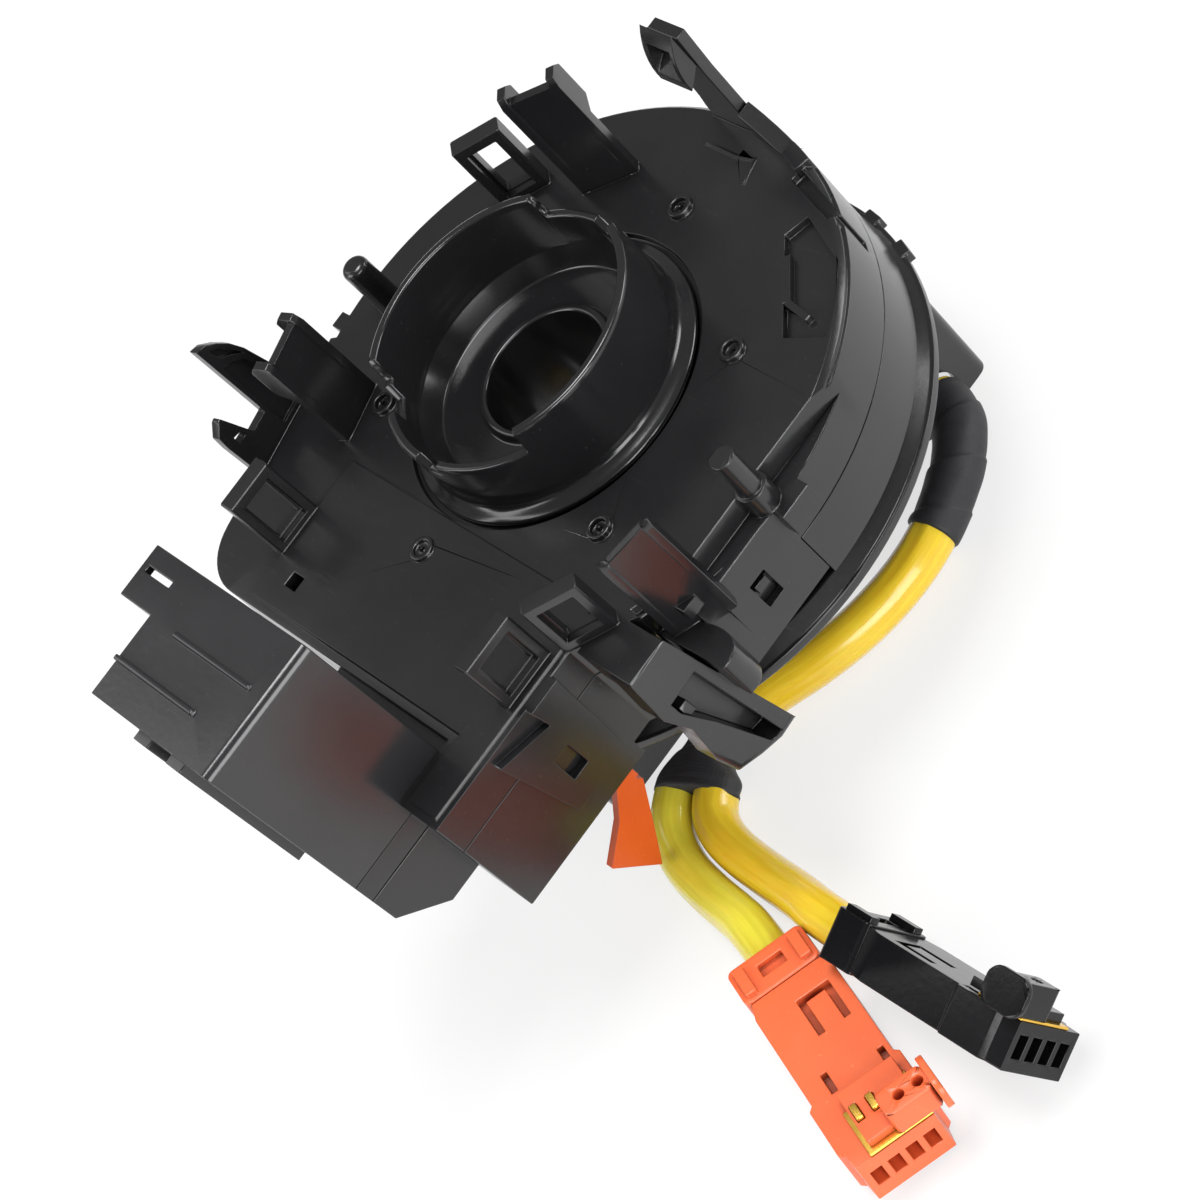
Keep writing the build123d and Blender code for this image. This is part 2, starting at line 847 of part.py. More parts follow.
    # Fin and low hook on the box's far wall
    fin_face = tangent_plane(fin_place, fin_direction)
    add(solid_of(fin_face.offset(-fin_thickness / 2), fin_outline, fin_thickness))
    add(solid_of(fin_face.offset(-fin_thickness / 2), low_hook_outline, fin_thickness))
    for hollow in (fin_groove, fin_hollow):
        hollow_face = fin_face.offset(fin_thickness / 2 - fin_relief)
        add(solid_of(hollow_face, hollow, 2 * fin_relief), mode=Mode.SUBTRACT)
    add(solid_of(fin_face.offset(-fin_thickness), low_hook_hole, 2 * fin_thickness), mode=Mode.SUBTRACT)
    # Side tab, step under the near post and small ears on the far wall
    add(box_at(side_tab, side_tab_size))
    add(box_at(step_block, step_block_size))
    for ear in far_ears:
        add(box_at(ear, far_ear_size))
    # Scoop bracket beside the drum: shelf, leaning face with its opening, ear behind it
    add(solid_of(Plane.YZ.offset(scoop_shelf_x[0]), scoop_shelf, scoop_shelf_x[1] - scoop_shelf_x[0]))
    lean = radians(scoop_lean)
    scoop_face = Plane(origin=(0, scoop_place_y, 0), x_dir=(1, 0, 0), z_dir=(0, -cos(lean), sin(lean)))
    with BuildPart() as scoop:
        add(solid_of(scoop_face.offset(-scoop_depth), scoop_outline, scoop_depth))
        low_edges = scoop.faces().sort_by(Axis.Y)[0].edges().sort_by(Axis.Z)[:4]
        fillet(low_edges, scoop_round)
        pocket = solid_of(scoop_face.offset(-scoop_pocket_depth), scoop_opening, 2 * scoop_pocket_depth)
        add(pocket, mode=Mode.SUBTRACT)
        with BuildSketch(scoop_face.offset(-scoop_pocket_depth)):
            with Locations(scoop_step):
                Rectangle(*scoop_step_size)
        extrude(amount=scoop_pocket_depth - fin_relief)
    add(scoop.part)
    with BuildPart() as ear:
        with BuildSketch(Plane.XY.offset(ear_top - ear_height)):
            with BuildLine():
                Spline(*ear_outline)
                Line(ear_outline[-1], ear_outline[0])
            make_face()
        extrude(amount=ear_height)
    add(ear.part)

finish(rear_housing, "rear_housing")

# Front cover: lower drum wall with the floor, the lower box wall and the box under the block
with BuildPart() as front_cover:
    with BuildSketch(Plane.XY.offset(drum_bottom)):
        Circle(plate_radius)
    extrude(amount=drum_seam - seam_gap - drum_bottom)
    with BuildSketch(Plane.XY.offset(box_bottom)):
        add(box_face())
    extrude(amount=box_seam - seam_gap - box_bottom)
    with BuildSketch(Plane.XY.offset(box_bottom)):
        Circle(rotor_clearance_radius)
    extrude(amount=drum_bottom - box_bottom, mode=Mode.SUBTRACT)
    with Locations(((block_left_x + box_left_x) / 2, (block_front_y + block_mouth_y) / 2, block_bottom)):
        Box(
            box_left_x - block_left_x,
            block_mouth_y - block_front_y,
            block_base_top - block_base_thickness - seam_gap - block_bottom,
            align=(Align.CENTER, Align.CENTER, Align.MIN),
        )
    low_corner = front_cover.edges().filter_by(Axis.Y).sort_by_distance((block_left_x, -10, block_bottom))[0]
    chamfer(low_corner, block_bottom_bevel)
    # Room for the rear housing's drum wall above the seam
    with BuildSketch(Plane.XY.offset(drum_seam - seam_gap)):
        Circle(plate_radius + seam_gap)
    extrude(amount=-drum_seam, mode=Mode.SUBTRACT)
    # Cable chamber
    with BuildSketch(Plane.XY.offset(drum_bottom + drum_floor)):
        Circle(plate_radius - wall)
    extrude(amount=-drum_bottom, mode=Mode.SUBTRACT)
    # Hollow of the box, over a floor that steps up round the rotor
    with BuildSketch(Plane.XY.offset(drum_bottom + drum_floor)):
        add(box_face(wall))
        Circle(plate_radius, mode=Mode.SUBTRACT)
    extrude(amount=-drum_bottom, mode=Mode.SUBTRACT)
    with BuildSketch(Plane.XY.offset(box_bottom + wall)):
        add(box_face(wall))
        Circle(rotor_clearance_radius + wall, mode=Mode.SUBTRACT)
    extrude(amount=-box_bottom, mode=Mode.SUBTRACT)
    with Locations(((block_left_x + box_left_x - wall) / 2, (block_front_y + block_mouth_y) / 2, 0)):
        Box(
            box_left_x - block_left_x - 3 * wall,
            block_mouth_y - block_front_y - 2 * wall,
            -block_bottom - block_bottom_bevel,
            align=(Align.CENTER, Align.CENTER, Align.MAX),
            mode=Mode.SUBTRACT,
        )
    # Hole round the rotor
    with BuildSketch(Plane.XY.offset(drum_bottom)):
        Circle(rotor_hole_radius)
    extrude(amount=drum_floor, mode=Mode.SUBTRACT)
    # Flat seat behind the rear housing's latch panel, with its catch
    with Locations((latch_panel_x, latch_panel_y + latch_panel_thickness + seam_gap, drum_bottom)):
        Box(
            latch_panel_width + 2 * seam_gap,
            wall,
            drum_seam - seam_gap - drum_bottom,
            align=(Align.CENTER, Align.MIN, Align.MIN),
        )
    with Locations((latch_panel_x, latch_panel_y + latch_panel_thickness + seam_gap, drum_bottom)):
        Box(
            latch_panel_width + 2 * seam_gap,
            2 * wall,
            -drum_bottom,
            align=(Align.CENTER, Align.MAX, Align.MIN),
            mode=Mode.SUBTRACT,
        )
    catch_y = latch_panel_y + latch_panel_thickness + seam_gap
    with Locations((latch_window_x, catch_y, latch_window_z + catch_rise)):
        Box(
            latch_window_width - catch_room,
            catch_reach,
            catch_height,
            align=(Align.CENTER, Align.MAX, Align.CENTER),
        )

finish(front_cover, "front_cover")

# Vehicle connector block: two sockets side by side, open on the far side
with BuildPart() as vehicle_connector_block:
    with BuildSketch(Plane.XY.offset(block_base_top)):
        with BuildLine():
            Polyline(
                (block_left_x, block_front_y),
                (block_right_x, block_front_y),
                (block_right_x, block_lip_y),
                (block_right_x - block_lip_width, block_lip_y),
                (block_right_x - block_lip_width, block_mouth_y),
                (block_left_x, block_mouth_y),
                close=True,
            )
        make_face()
    extrude(amount=block_top - block_base_top)
    top_edges = vehicle_connector_block.edges().group_by(Axis.Z)[-1]
    fillet(top_edges.filter_by(Axis.X).sort_by(Axis.Y)[0], block_front_round)
    for room, back_y, mouth_y in zip(socket_rooms, socket_backs, (block_mouth_y, block_lip_y)):
        with BuildSketch(Plane.XZ.offset(-mouth_y - 1)):
            with Locations((sum(room) / 2, (socket_floor + socket_roof) / 2)):
                RectangleRounded(room[1] - room[0], socket_roof - socket_floor, socket_round)
        extrude(amount=mouth_y + 1 - back_y, mode=Mode.SUBTRACT)
    # Step and guide rib along the top, slot in the lip
    top_middle_y = (block_front_y + block_mouth_y) / 2
    add(box_at((top_step_x, top_middle_y - block_wall, block_top), top_step_size))
    add(box_at((top_rib_x, block_mouth_y - top_rib_size[1] / 2, block_top), top_rib_size))
    with Locations((*lip_slot, block_top)):
        Box(*lip_slot_size, 4 * block_wall, mode=Mode.SUBTRACT)
    # Guide ribs on the outer side
    for rib_y in side_rib_places:
        rib_size = (side_rib_reach, side_rib_width, block_top - side_rib_bottom - block_wall)
        rib_align = (Align.MAX, Align.CENTER, Align.MIN)
        add(box_at((block_left_x, rib_y, side_rib_bottom), rib_size, rib_align))

finish(vehicle_connector_block, "vehicle_connector_block")

# Pins of both sockets, seated on the sockets' back walls
with BuildPart() as vehicle_pins:
    for room, back_y in zip(socket_rooms, socket_backs):
        middle_x = sum(room) / 2
        middle_z = (socket_floor + socket_roof) / 2
        pin_places = [
            (middle_x + column * pin_pitch_x, back_y, middle_z + row * pin_pitch_z)
            for column in (-0.5, 0.5)
            for row in pin_rows
        ]
        with Locations(*pin_places):
            Box(pin_size, pin_length, pin_size, align=(Align.CENTER, Align.MIN, Align.CENTER))

finish(vehicle_pins, "vehicle_pins")

# Slide sheets above and below the flat cable
with BuildPart() as slide_sheet_rear:
    with BuildSketch(Plane.XY.offset(-collar_depth - sheet_thickness)):
        Circle(sheet_radius)
        Circle(barrel_radius + sheet_clearance, mode=Mode.SUBTRACT)
    extrude(amount=sheet_thickness)

finish(slide_sheet_rear, "slide_sheet_rear")

with BuildPart() as slide_sheet_front:
    with BuildSketch(Plane.XY.offset(drum_bottom + drum_floor)):
        Circle(sheet_radius)
        Circle(rotor_hole_radius + side_gap, mode=Mode.SUBTRACT)
    extrude(amount=sheet_thickness)

finish(slide_sheet_front, "slide_sheet_front")

# Lead blocks at both ends of the flat cable
cable_half_turns = int(2 * cable_turns)
cable_room_across = plate_radius - wall - cable_end_room - cable_inner_radius
cable_step = cable_room_across / (cable_half_turns - 1)
cable_end_radius = cable_inner_radius + (cable_half_turns - 1) * cable_step
chamber_floor = drum_bottom + drum_floor + sheet_thickness

with BuildPart() as outer_lead_block:
    with BuildSketch(Plane.XY.offset(chamber_floor)):
        with Locations((-cable_end_radius, -outer_block_length / 2)):
            Rectangle(outer_block_width, outer_block_length)
    extrude(amount=cable_height + 2 * cable_gap)
    fillet(outer_lead_block.edges().filter_by(Axis.Z).group_by(Axis.Y)[0], outer_block_round)

finish(outer_lead_block, "outer_lead_block")

with BuildPart() as inner_lead_block:
    with BuildSketch(Plane.XY.offset(chamber_floor + cable_gap)):
        with BuildLine():
            Polyline(
                (cable_inner_radius + inner_block_reach, 0),
                (cable_inner_radius + inner_block_reach, -inner_block_length),
                (winding_radius * inner_block_share, -inner_block_length),
                (winding_radius * inner_block_share, 0),
                close=True,
            )
        make_face()
        Circle(winding_radius, mode=Mode.SUBTRACT)
    extrude(amount=cable_height)

finish(inner_lead_block, "inner_lead_block")

# Flat cable: half turns about two centres make a spiral of even pitch
with BuildPart() as flat_cable:
    with BuildSketch(Plane.XY.offset(chamber_floor + cable_gap)):
        with BuildLine():
            for side in (-0.5, 0.5):
                for half in range(cable_half_turns):
                    centre = (0, 0) if half % 2 == 0 else (cable_step, 0)
                    radius = cable_inner_radius + half * cable_step + side * cable_thickness
                    CenterArc(centre, radius, 180 * (half % 2), 180)
            for end_x in (-cable_end_radius, cable_inner_radius):
                Line((end_x - cable_thickness / 2, 0), (end_x + cable_thickness / 2, 0))
        make_face()
    extrude(amount=cable_height)

finish(flat_cable, "flat_cable")

# Rotor hub: barrel, cup floor with the shaft bore, and the rim that turns with the shaft
with BuildPart() as rotor_hub:
    with BuildSketch(Plane.XZ):
        with BuildLine():
            Polyline(
                (shaft_bore_radius, disc_bottom),
                (shaft_bore_radius + bore_wall, disc_bottom),
                (shaft_bore_radius + bore_wall, hub_floor - hub_floor_thickness),
                (barrel_radius - barrel_wall, hub_floor - hub_floor_thickness),
                (barrel_radius - barrel_wall, disc_inner_top),
                (barrel_radius, disc_inner_top),
                (barrel_radius, foot_bottom),
                (hub_foot_radius, foot_bottom),
                (hub_foot_radius, foot_bottom + foot_edge),
                (hub_rim_radius + foot_edge, foot_bottom + hub_foot_height),
                (hub_rim_radius, foot_bottom + hub_foot_height + foot_edge),
                (hub_rim_radius, hub_top - hub_edge),
                (hub_rim_radius - hub_edge, hub_top),
                (hub_rim_radius - hub_wall, hub_top),
                (hub_rim_radius - hub_wall - hub_edge, hub_floor + hub_cup_depth),
                (hub_cup_radius, hub_floor),
                (shaft_bore_radius + bore_wall, hub_floor),
                (shaft_bore_radius + bore_wall, hub_floor + bore_lip),
                (shaft_bore_radius, hub_floor + bore_lip),
                close=True,
            )
        make_face()
    revolve(axis=Axis.Z)
    # The rim is lower between its two high stretches
    for start, end in hub_low_spans:
        with BuildSketch(Plane.XY.offset(hub_low_top)):
            with BuildLine():
                Polyline(*sector(hub_rim_radius, start, end), close=True)
            make_face()
        extrude(amount=hub_top, mode=Mode.SUBTRACT)
    for start, end in hub_notches:
        with BuildSketch(Plane.XY.offset(hub_notch_z)):
            with BuildLine():
                Polyline(*sector(hub_rim_radius, start, end), close=True)
            make_face()
            Circle(hub_cup_radius, mode=Mode.SUBTRACT)
        extrude(amount=hub_top, mode=Mode.SUBTRACT)

finish(rotor_hub, "rotor_hub")

# Rotor front: the disc under the drum, the winding drum and the wheel-side pods
with BuildPart() as rotor_front:
    with BuildSketch(Plane.XZ):
        with BuildLine():
            Polyline(
                (shaft_bore_radius + bore_wall + running_gap, disc_bottom),
                (disc_radius - disc_edge, disc_bottom),
                (disc_radius, disc_bottom + disc_edge),
                (disc_radius, disc_rim_top),
                (disc_radius - disc_edge, disc_rim_top),
                (disc_radius - disc_rim_width, disc_inner_top),
                (winding_radius, disc_inner_top),
                (winding_radius, winding_top),
                (barrel_radius + running_gap, winding_top),
                (barrel_radius + running_gap, disc_inner_top),
                (shaft_bore_radius + bore_wall + running_gap, disc_inner_top),
                close=True,
            )
        make_face()
    revolve(axis=Axis.Z)
    for pod in (right_pod, left_pod):
        left, right, near, far = pod
        with BuildSketch(Plane.XY.offset(floor_z)):
            with Locations(((left + right) / 2, (near + far) / 2)):
                RectangleRounded(right - left, far - near, pod_corner_radius)
        extrude(amount=disc_bottom - floor_z)
        with BuildSketch(Plane.XY.offset(floor_z)):
            with Locations(((left + right) / 2, (near + far) / 2)):
                RectangleRounded(
                    right - left - 2 * pod_wall,
                    far - near - 2 * pod_wall,
                    pod_corner_radius / 2,
                )
        extrude(amount=pod_socket_depth, mode=Mode.SUBTRACT)
    # Way out for the leads, open at the bottom
    left, right, near, far = right_pod
    exit_depth = 2 * pod_wall
    with BuildSketch(Plane.XZ.offset(-near - exit_depth)):
        with Locations((lead_exit_x, lead_z)):
            Circle(bundle_radius + exit_room)
        with Locations((lead_exit_x, floor_z)):
            Rectangle(2 * bundle_radius, 2 * (lead_z - floor_z))
    extrude(amount=2 * exit_depth, mode=Mode.SUBTRACT)
    # Lugs on the rim
    for angle in rim_lug_angles:
        lug_place = (*polar(disc_radius - disc_edge, angle), disc_bottom)
        with Locations(Plane(origin=lug_place, x_dir=(*polar(1, angle), 0), z_dir=(0, 0, 1))):
            Box(*rim_lug_size, align=(Align.CENTER, Align.CENTER, Align.MIN))

finish(rotor_front, "rotor_front")

# Pins of the wheel-side socket in the left pod
with BuildPart() as switch_pins:
    left, right, near, far = left_pod
    with BuildSketch(Plane.XY.offset(floor_z + pod_socket_depth)):
        with Locations(((left + right) / 2, (near + far) / 2)):
            with GridLocations(wheel_pin_pitch, wheel_pin_pitch, 2, 4):
                Rectangle(wheel_pin_size, wheel_pin_size)
    extrude(amount=-wheel_pin_length)

finish(switch_pins, "switch_pins")

# Lock tab: a waisted blade on the left pod's near face
with BuildPart() as lock_tab:
    with BuildSketch(Plane.XZ.offset(-tab_y)):
        with BuildLine():
            Polyline(*tab_outline, close=True)
        make_face()
    extrude(amount=tab_thickness)
    with Locations((sum(tab_arm) / 2, left_pod[2], disc_bottom)):
        Box(
            tab_arm[1] - tab_arm[0],
            left_pod[2] - tab_y + tab_thickness,
            tab_arm_height,
            align=(Align.CENTER, Align.MAX, Align.MAX),
        )

finish(lock_tab, "lock_tab")


def cord_radii(points):
    """Tangent arcs of a route: a share of the shorter run over the tangent of half the turn."""
    radii = []
    for before, corner, after in zip(points, points[1:], points[2:]):
        first = Vector(*corner) - Vector(*before)
        second = Vector(*after) - Vector(*corner)
        half_turn = radians(first.get_angle(second)) / 2
        radii.append(arc_share * min(first.length, second.length) / tan(half_turn))
    return radii


def lay_sleeve(points, radius, label):
    """A sleeve along straight runs joined by tangent arcs. Its radii and volume are printed."""
    radii = cord_radii(points)
    first = Vector(*points[1]) - Vector(*points[0])
    with BuildPart() as sleeve:
        with BuildLine() as route:
            FilletPolyline(*points, radius=radii)
        with BuildSketch(Plane(origin=points[0], z_dir=first)):
            Circle(radius)
        sweep(path=route.wires()[0])
    length = sum(edge.length for edge in route.edges())
    ratio = sleeve.part.volume / (pi * radius**2 * length)
    print(label, "radii", [round(r, 1) for r in radii])
    print(label, "length", round(length, 1), "volume", round(ratio, 4))
    return sleeve.part


def wind_tape(start, corners, end):
    """A wrap of cloth tape that follows the bundle from start, round some of its corners, to end."""
    radii = [cord_radii(bundle_route)[bundle_route.index(corner) - 1] for corner in corners]
    first = Vector(*corners[0]) - Vector(*start)
    with BuildPart() as wrap:
        with BuildLine() as route:
            FilletPolyline(start, *corners, end, radius=radii)
        with BuildSketch(Plane(origin=start, z_dir=first)):
            Circle(bundle_radius + tape_gap + tape_thickness)
            Circle(bundle_radius + tape_gap, mode=Mode.SUBTRACT)
        sweep(path=route.wires()[0])
    return wrap.part


def between(first, second, share):
    """The point at a share of the way from one route point to the next."""
    return tuple(a + (b - a) * share for a, b in zip(first, second))


with BuildPart() as lead_bundle:
    add(lay_sleeve(bundle_route, bundle_radius, "lead_bundle"))

finish(lead_bundle, "lead_bundle")

with BuildPart() as lead_orange:
    add(lay_sleeve(orange_route, sleeve_radius, "lead_orange"))

finish(lead_orange, "lead_orange")

with BuildPart() as lead_black:
    add(lay_sleeve(black_route, sleeve_radius, "lead_black"))

finish(lead_black, "lead_black")


def connector_plane(rear, heading, roll, middle_z, thickness):
    """Seat of a connector: X runs from its rear to its plug end, Z out of its top face."""
    along = Vector(cos(radians(heading)), sin(radians(heading)), 0)
    across = Vector(-along.Y, along.X, 0)
    up = Vector(0, 0, 1) * cos(radians(roll)) + across * sin(radians(roll))
    middle = Vector(rear[0], rear[1], middle_z)
    return Plane(origin=middle - up * (thickness / 2), x_dir=along, z_dir=up)


def connector_body(seat, length, thickness, nose_side):
    """Housing of a squib connector with its latch slot, side slots and end openings."""
    half = connector_width / 2
    neck = length - plug_step
    swell_start = length * swell_share
    with BuildPart() as housing:
        with BuildSketch(seat.offset(0)):
            with BuildLine():
                Polyline(
                    (cap_length, -half + connector_swell),
                    (cap_length, half - connector_swell),
                    (cap_length + plug_step, half),
                    (swell_start, half),
                    (swell_start + connector_swell, half + connector_swell),
                    (neck - connector_swell, half + connector_swell),
                    (neck, half),
                    (length, half - plug_edge),
                    (length, -half + plug_edge),
                    (neck, -half),
                    (neck - connector_swell, -half - connector_swell),
                    (swell_start + connector_swell, -half - connector_swell),
                    (swell_start, -half),
                    (cap_length + plug_step, -half),
                    close=True,
                )
            make_face()
        extrude(amount=thickness)
        # U-shaped slot that frees the latch, and a slot beside each flank
        with BuildSketch(seat.offset(thickness - latch_slot_depth)):
            for across in latch_slot_across:
                with Locations(((latch_slot_start + latch_slot_end) / 2, across * nose_side)):
                    Rectangle(latch_slot_end - latch_slot_start, latch_slot_width)
            bar_across = sum(latch_slot_across) / 2 * nose_side
            with Locations((latch_slot_start + latch_slot_width / 2, bar_across)):
                Rectangle(latch_slot_width, latch_slot_across[1] - latch_slot_across[0] + latch_slot_width)
            for along, across in side_slots:
                with Locations((along, across * nose_side)):
                    Rectangle(*side_slot_size)
        extrude(amount=2 * latch_slot_depth, mode=Mode.SUBTRACT)
        # Contact openings in the plug end
        plug_middle = seat.origin + seat.x_dir * length
        with BuildSketch(Plane(origin=plug_middle, x_dir=seat.y_dir, z_dir=seat.x_dir)):
            with Locations((0, thickness / 2)):
                with GridLocations(contact_opening_pitch, 1, 4, 1):
                    Rectangle(*contact_opening_size)
        extrude(amount=-contact_opening_depth, mode=Mode.SUBTRACT)
    return housing.part


def connector_cap(seat, thickness, nose_side):
    """Rear cap of a squib connector: a hood with a recess and two raised arms round the lead's end."""
    shift = cap_shift * nose_side
    top = thickness + cap_wall
    with BuildPart() as cap:
        with BuildSketch(seat.offset(-cap_wall)):
            with Locations((cap_length / 2, shift)):
                RectangleRounded(cap_length, cap_width, cap_recess_depth)
        extrude(amount=thickness + 2 * cap_wall)
        with BuildSketch(seat.offset(top - cap_recess_depth)):
            with Locations((cap_length / 2 - cap_wall, shift)):
                Rectangle(*cap_recess)
        extrude(amount=2 * cap_recess_depth, mode=Mode.SUBTRACT)
        with BuildSketch(seat.offset(top)):
            for side in (-1, 1):
                with Locations((cap_length / 2, shift + side * (cap_width / 2 - cap_arm_width))):
                    Rectangle(cap_length - cap_arm_width, cap_arm_width)
        extrude(amount=cap_arm_height)
    return cap.part


def tab_places(length, nose_side):
    """Middles of the two gold tabs that come through the nose's base."""
    return [(length - tab_back, across * nose_side) for across in tab_across]


def connector_nose(seat, length, thickness, nose_side):
    """Plug nose: a low base with a raised core that lies across, two holes and an end flange."""
    base_middle = (length - nose_back + nose_base_length / 2, nose_base_shift * nose_side)
    core_middle = (length - core_back / 2, sum(core_across) / 2 * nose_side)
    bottom = thickness + leaf_thickness
    top = bottom + nose_base_rise + core_rise
    with BuildPart() as nose:
        with BuildSketch(seat.offset(bottom)):
            with Locations(base_middle):
                Rectangle(nose_base_length, nose_base_width)
            for place in tab_places(length, nose_side):
                with Locations(place):
                    Rectangle(tab_size[0] + 2 * seam_gap, tab_size[1] + 2 * seam_gap, mode=Mode.SUBTRACT)
        extrude(amount=nose_base_rise)
        with BuildSketch(seat.offset(bottom)):
            with Locations(core_middle):
                RectangleRounded(core_back, core_across[1] - core_across[0], core_hole_radius)
        extrude(amount=nose_base_rise + core_rise)
        with BuildSketch(seat.offset(top)):
            with Locations((core_middle[0], core_middle[1] + core_hole_shift * nose_side)):
                with GridLocations(1, core_hole_pitch, 1, 2):
                    Circle(core_hole_radius)
        extrude(amount=-core_hole_depth, mode=Mode.SUBTRACT)
        flange_origin = seat.origin + seat.y_dir * (core_across[1] * nose_side)
        flange_face = Plane(origin=flange_origin, x_dir=seat.x_dir, z_dir=-seat.y_dir)
        if nose_side > 0:
            flange_face = flange_face.offset(-flange_thickness)
        with BuildSketch(flange_face):
            with Locations((core_middle[0], bottom + (top - bottom) / 2)):
                RectangleRounded(flange_width, top - bottom + flange_thickness, flange_round)
        extrude(amount=flange_thickness)
    return nose.part


def connector_leaf(seat, length, thickness, nose_side):
    """Gold contact leaf between the nose and the housing, with two tabs through the nose's base."""
    with BuildPart() as leaf:
        with BuildSketch(seat.offset(thickness)):
            with Locations((length - leaf_back / 2 - seam_gap, leaf_shift * nose_side)):
                Rectangle(leaf_back, leaf_width)
        extrude(amount=leaf_thickness)
        with BuildSketch(seat.offset(thickness)):
            for place in tab_places(length, nose_side):
                with Locations(place):
                    Rectangle(*tab_size)
        extrude(amount=leaf_thickness + nose_base_rise + leaf_thickness)
    return leaf.part


orange_seat = connector_plane(orange_rear, orange_heading, orange_roll, orange_middle_z, orange_thickness)
black_seat = connector_plane(black_rear, black_heading, black_roll, black_middle_z, black_thickness)

with BuildPart() as orange_connector_body:
    add(connector_body(orange_seat, orange_length, orange_thickness, 1))

finish(orange_connector_body, "orange_connector_body")

with BuildPart() as orange_connector_cap:
    add(connector_cap(orange_seat, orange_thickness, 1))

finish(orange_connector_cap, "orange_connector_cap")

with BuildPart() as orange_connector_nose:
    add(connector_nose(orange_seat, orange_length, orange_thickness, 1))

finish(orange_connector_nose, "orange_connector_nose")

with BuildPart() as orange_contact_leaf:
    add(connector_leaf(orange_seat, orange_length, orange_thickness, 1))

finish(orange_contact_leaf, "orange_contact_leaf")

with BuildPart() as black_connector_body:
    add(connector_body(black_seat, black_length, black_thickness, -1))

finish(black_connector_body, "black_connector_body")

with BuildPart() as black_connector_cap:
    add(connector_cap(black_seat, black_thickness, -1))

finish(black_connector_cap, "black_connector_cap")

with BuildPart() as black_connector_nose:
    add(connector_nose(black_seat, black_length, black_thickness, -1))

finish(black_connector_nose, "black_connector_nose")

with BuildPart() as black_contact_leaf:
    add(connector_leaf(black_seat, black_length, black_thickness, -1))

finish(black_contact_leaf, "black_contact_leaf")

with BuildPart() as tape_at_pod:
    tape_start = between(bundle_route[0], bundle_route[1], pod_tape_shares[0])
    tape_end = between(bundle_route[3], bundle_route[4], pod_tape_shares[1])
    add(wind_tape(tape_start, bundle_route[1:4], tape_end))

finish(tape_at_pod, "tape_at_pod")

with BuildPart() as tape_at_branch:
    tape_start = between(bundle_route[-3], bundle_route[-2], branch_tape_shares[0])
    tape_end = between(bundle_route[-2], bundle_route[-1], branch_tape_shares[1])
    add(wind_tape(tape_start, bundle_route[-2:-1], tape_end))

finish(tape_at_branch, "tape_at_branch")
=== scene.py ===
from math import radians

import bmesh
import bpy
import numpy as np
from mathutils import Matrix, Vector


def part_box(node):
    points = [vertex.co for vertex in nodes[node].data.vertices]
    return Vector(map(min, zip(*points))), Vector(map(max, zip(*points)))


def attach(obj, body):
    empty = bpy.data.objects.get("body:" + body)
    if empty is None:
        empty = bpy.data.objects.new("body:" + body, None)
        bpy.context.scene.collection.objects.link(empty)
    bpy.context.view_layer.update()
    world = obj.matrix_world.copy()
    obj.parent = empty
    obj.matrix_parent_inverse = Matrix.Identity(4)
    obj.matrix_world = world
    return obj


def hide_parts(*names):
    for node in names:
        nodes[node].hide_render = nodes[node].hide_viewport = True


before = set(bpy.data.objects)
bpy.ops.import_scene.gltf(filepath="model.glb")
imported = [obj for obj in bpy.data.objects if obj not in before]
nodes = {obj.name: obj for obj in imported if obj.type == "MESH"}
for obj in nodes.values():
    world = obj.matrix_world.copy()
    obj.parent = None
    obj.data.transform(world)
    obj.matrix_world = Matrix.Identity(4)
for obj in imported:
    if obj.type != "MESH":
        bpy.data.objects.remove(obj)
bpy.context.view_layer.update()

MM = 0.001
TURN = 2 * np.pi
FLOOR_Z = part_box("rotor_front")[0].z

# Camera of the photograph: its place in metres, the directions of the picture's right and top, and its lens
CAMERA_PLACE = Vector((-0.0769, -0.4304, 0.3759))
CAMERA_RIGHT = Vector((0.59416, -0.59544, -0.54076))
CAMERA_TOP = Vector((0.79894, 0.35910, 0.48243))
SENSOR_WIDTH = 36.0
LENS = 110.32
CLIP_START = 0.01


def aim_camera():
    """The camera stands where the photograph was taken, with the same tilt to the side."""
    data = bpy.data.cameras.new("camera")
    data.sensor_width = SENSOR_WIDTH
    data.lens = LENS
    data.clip_start = CLIP_START
    camera = bpy.data.objects.new("camera", data)
    bpy.context.scene.collection.objects.link(camera)
    right = CAMERA_RIGHT.normalized()
    back = right.cross(CAMERA_TOP).normalized()
    top = back.cross(right)
    turn = Matrix((right, top, back)).transposed()
    camera.matrix_world = Matrix.Translation(CAMERA_PLACE) @ turn.to_4x4()
    bpy.context.scene.camera = camera


# Materials

# Between a Mix node's share and its two colours lie the sockets that it has for vectors and plain numbers
OTHER_MIX_SOCKETS = [None] * 5
MIXED_COLOUR = 2


class Value:
    """A number, colour or vector in a node tree. Arithmetic on a number adds Math nodes."""

    def __init__(self, wiring, socket):
        self.wiring = wiring
        self.socket = socket

    def _math(self, operation, first, second):
        return self.wiring.node("ShaderNodeMath", {"operation": operation}, first, second)

    def __add__(self, other):
        return self._math("ADD", self, other)

    def __radd__(self, other):
        return self._math("ADD", other, self)

    def __sub__(self, other):
        return self._math("SUBTRACT", self, other)

    def __rsub__(self, other):
        return self._math("SUBTRACT", other, self)

    def __mul__(self, other):
        return self._math("MULTIPLY", self, other)

    def __rmul__(self, other):
        return self._math("MULTIPLY", other, self)


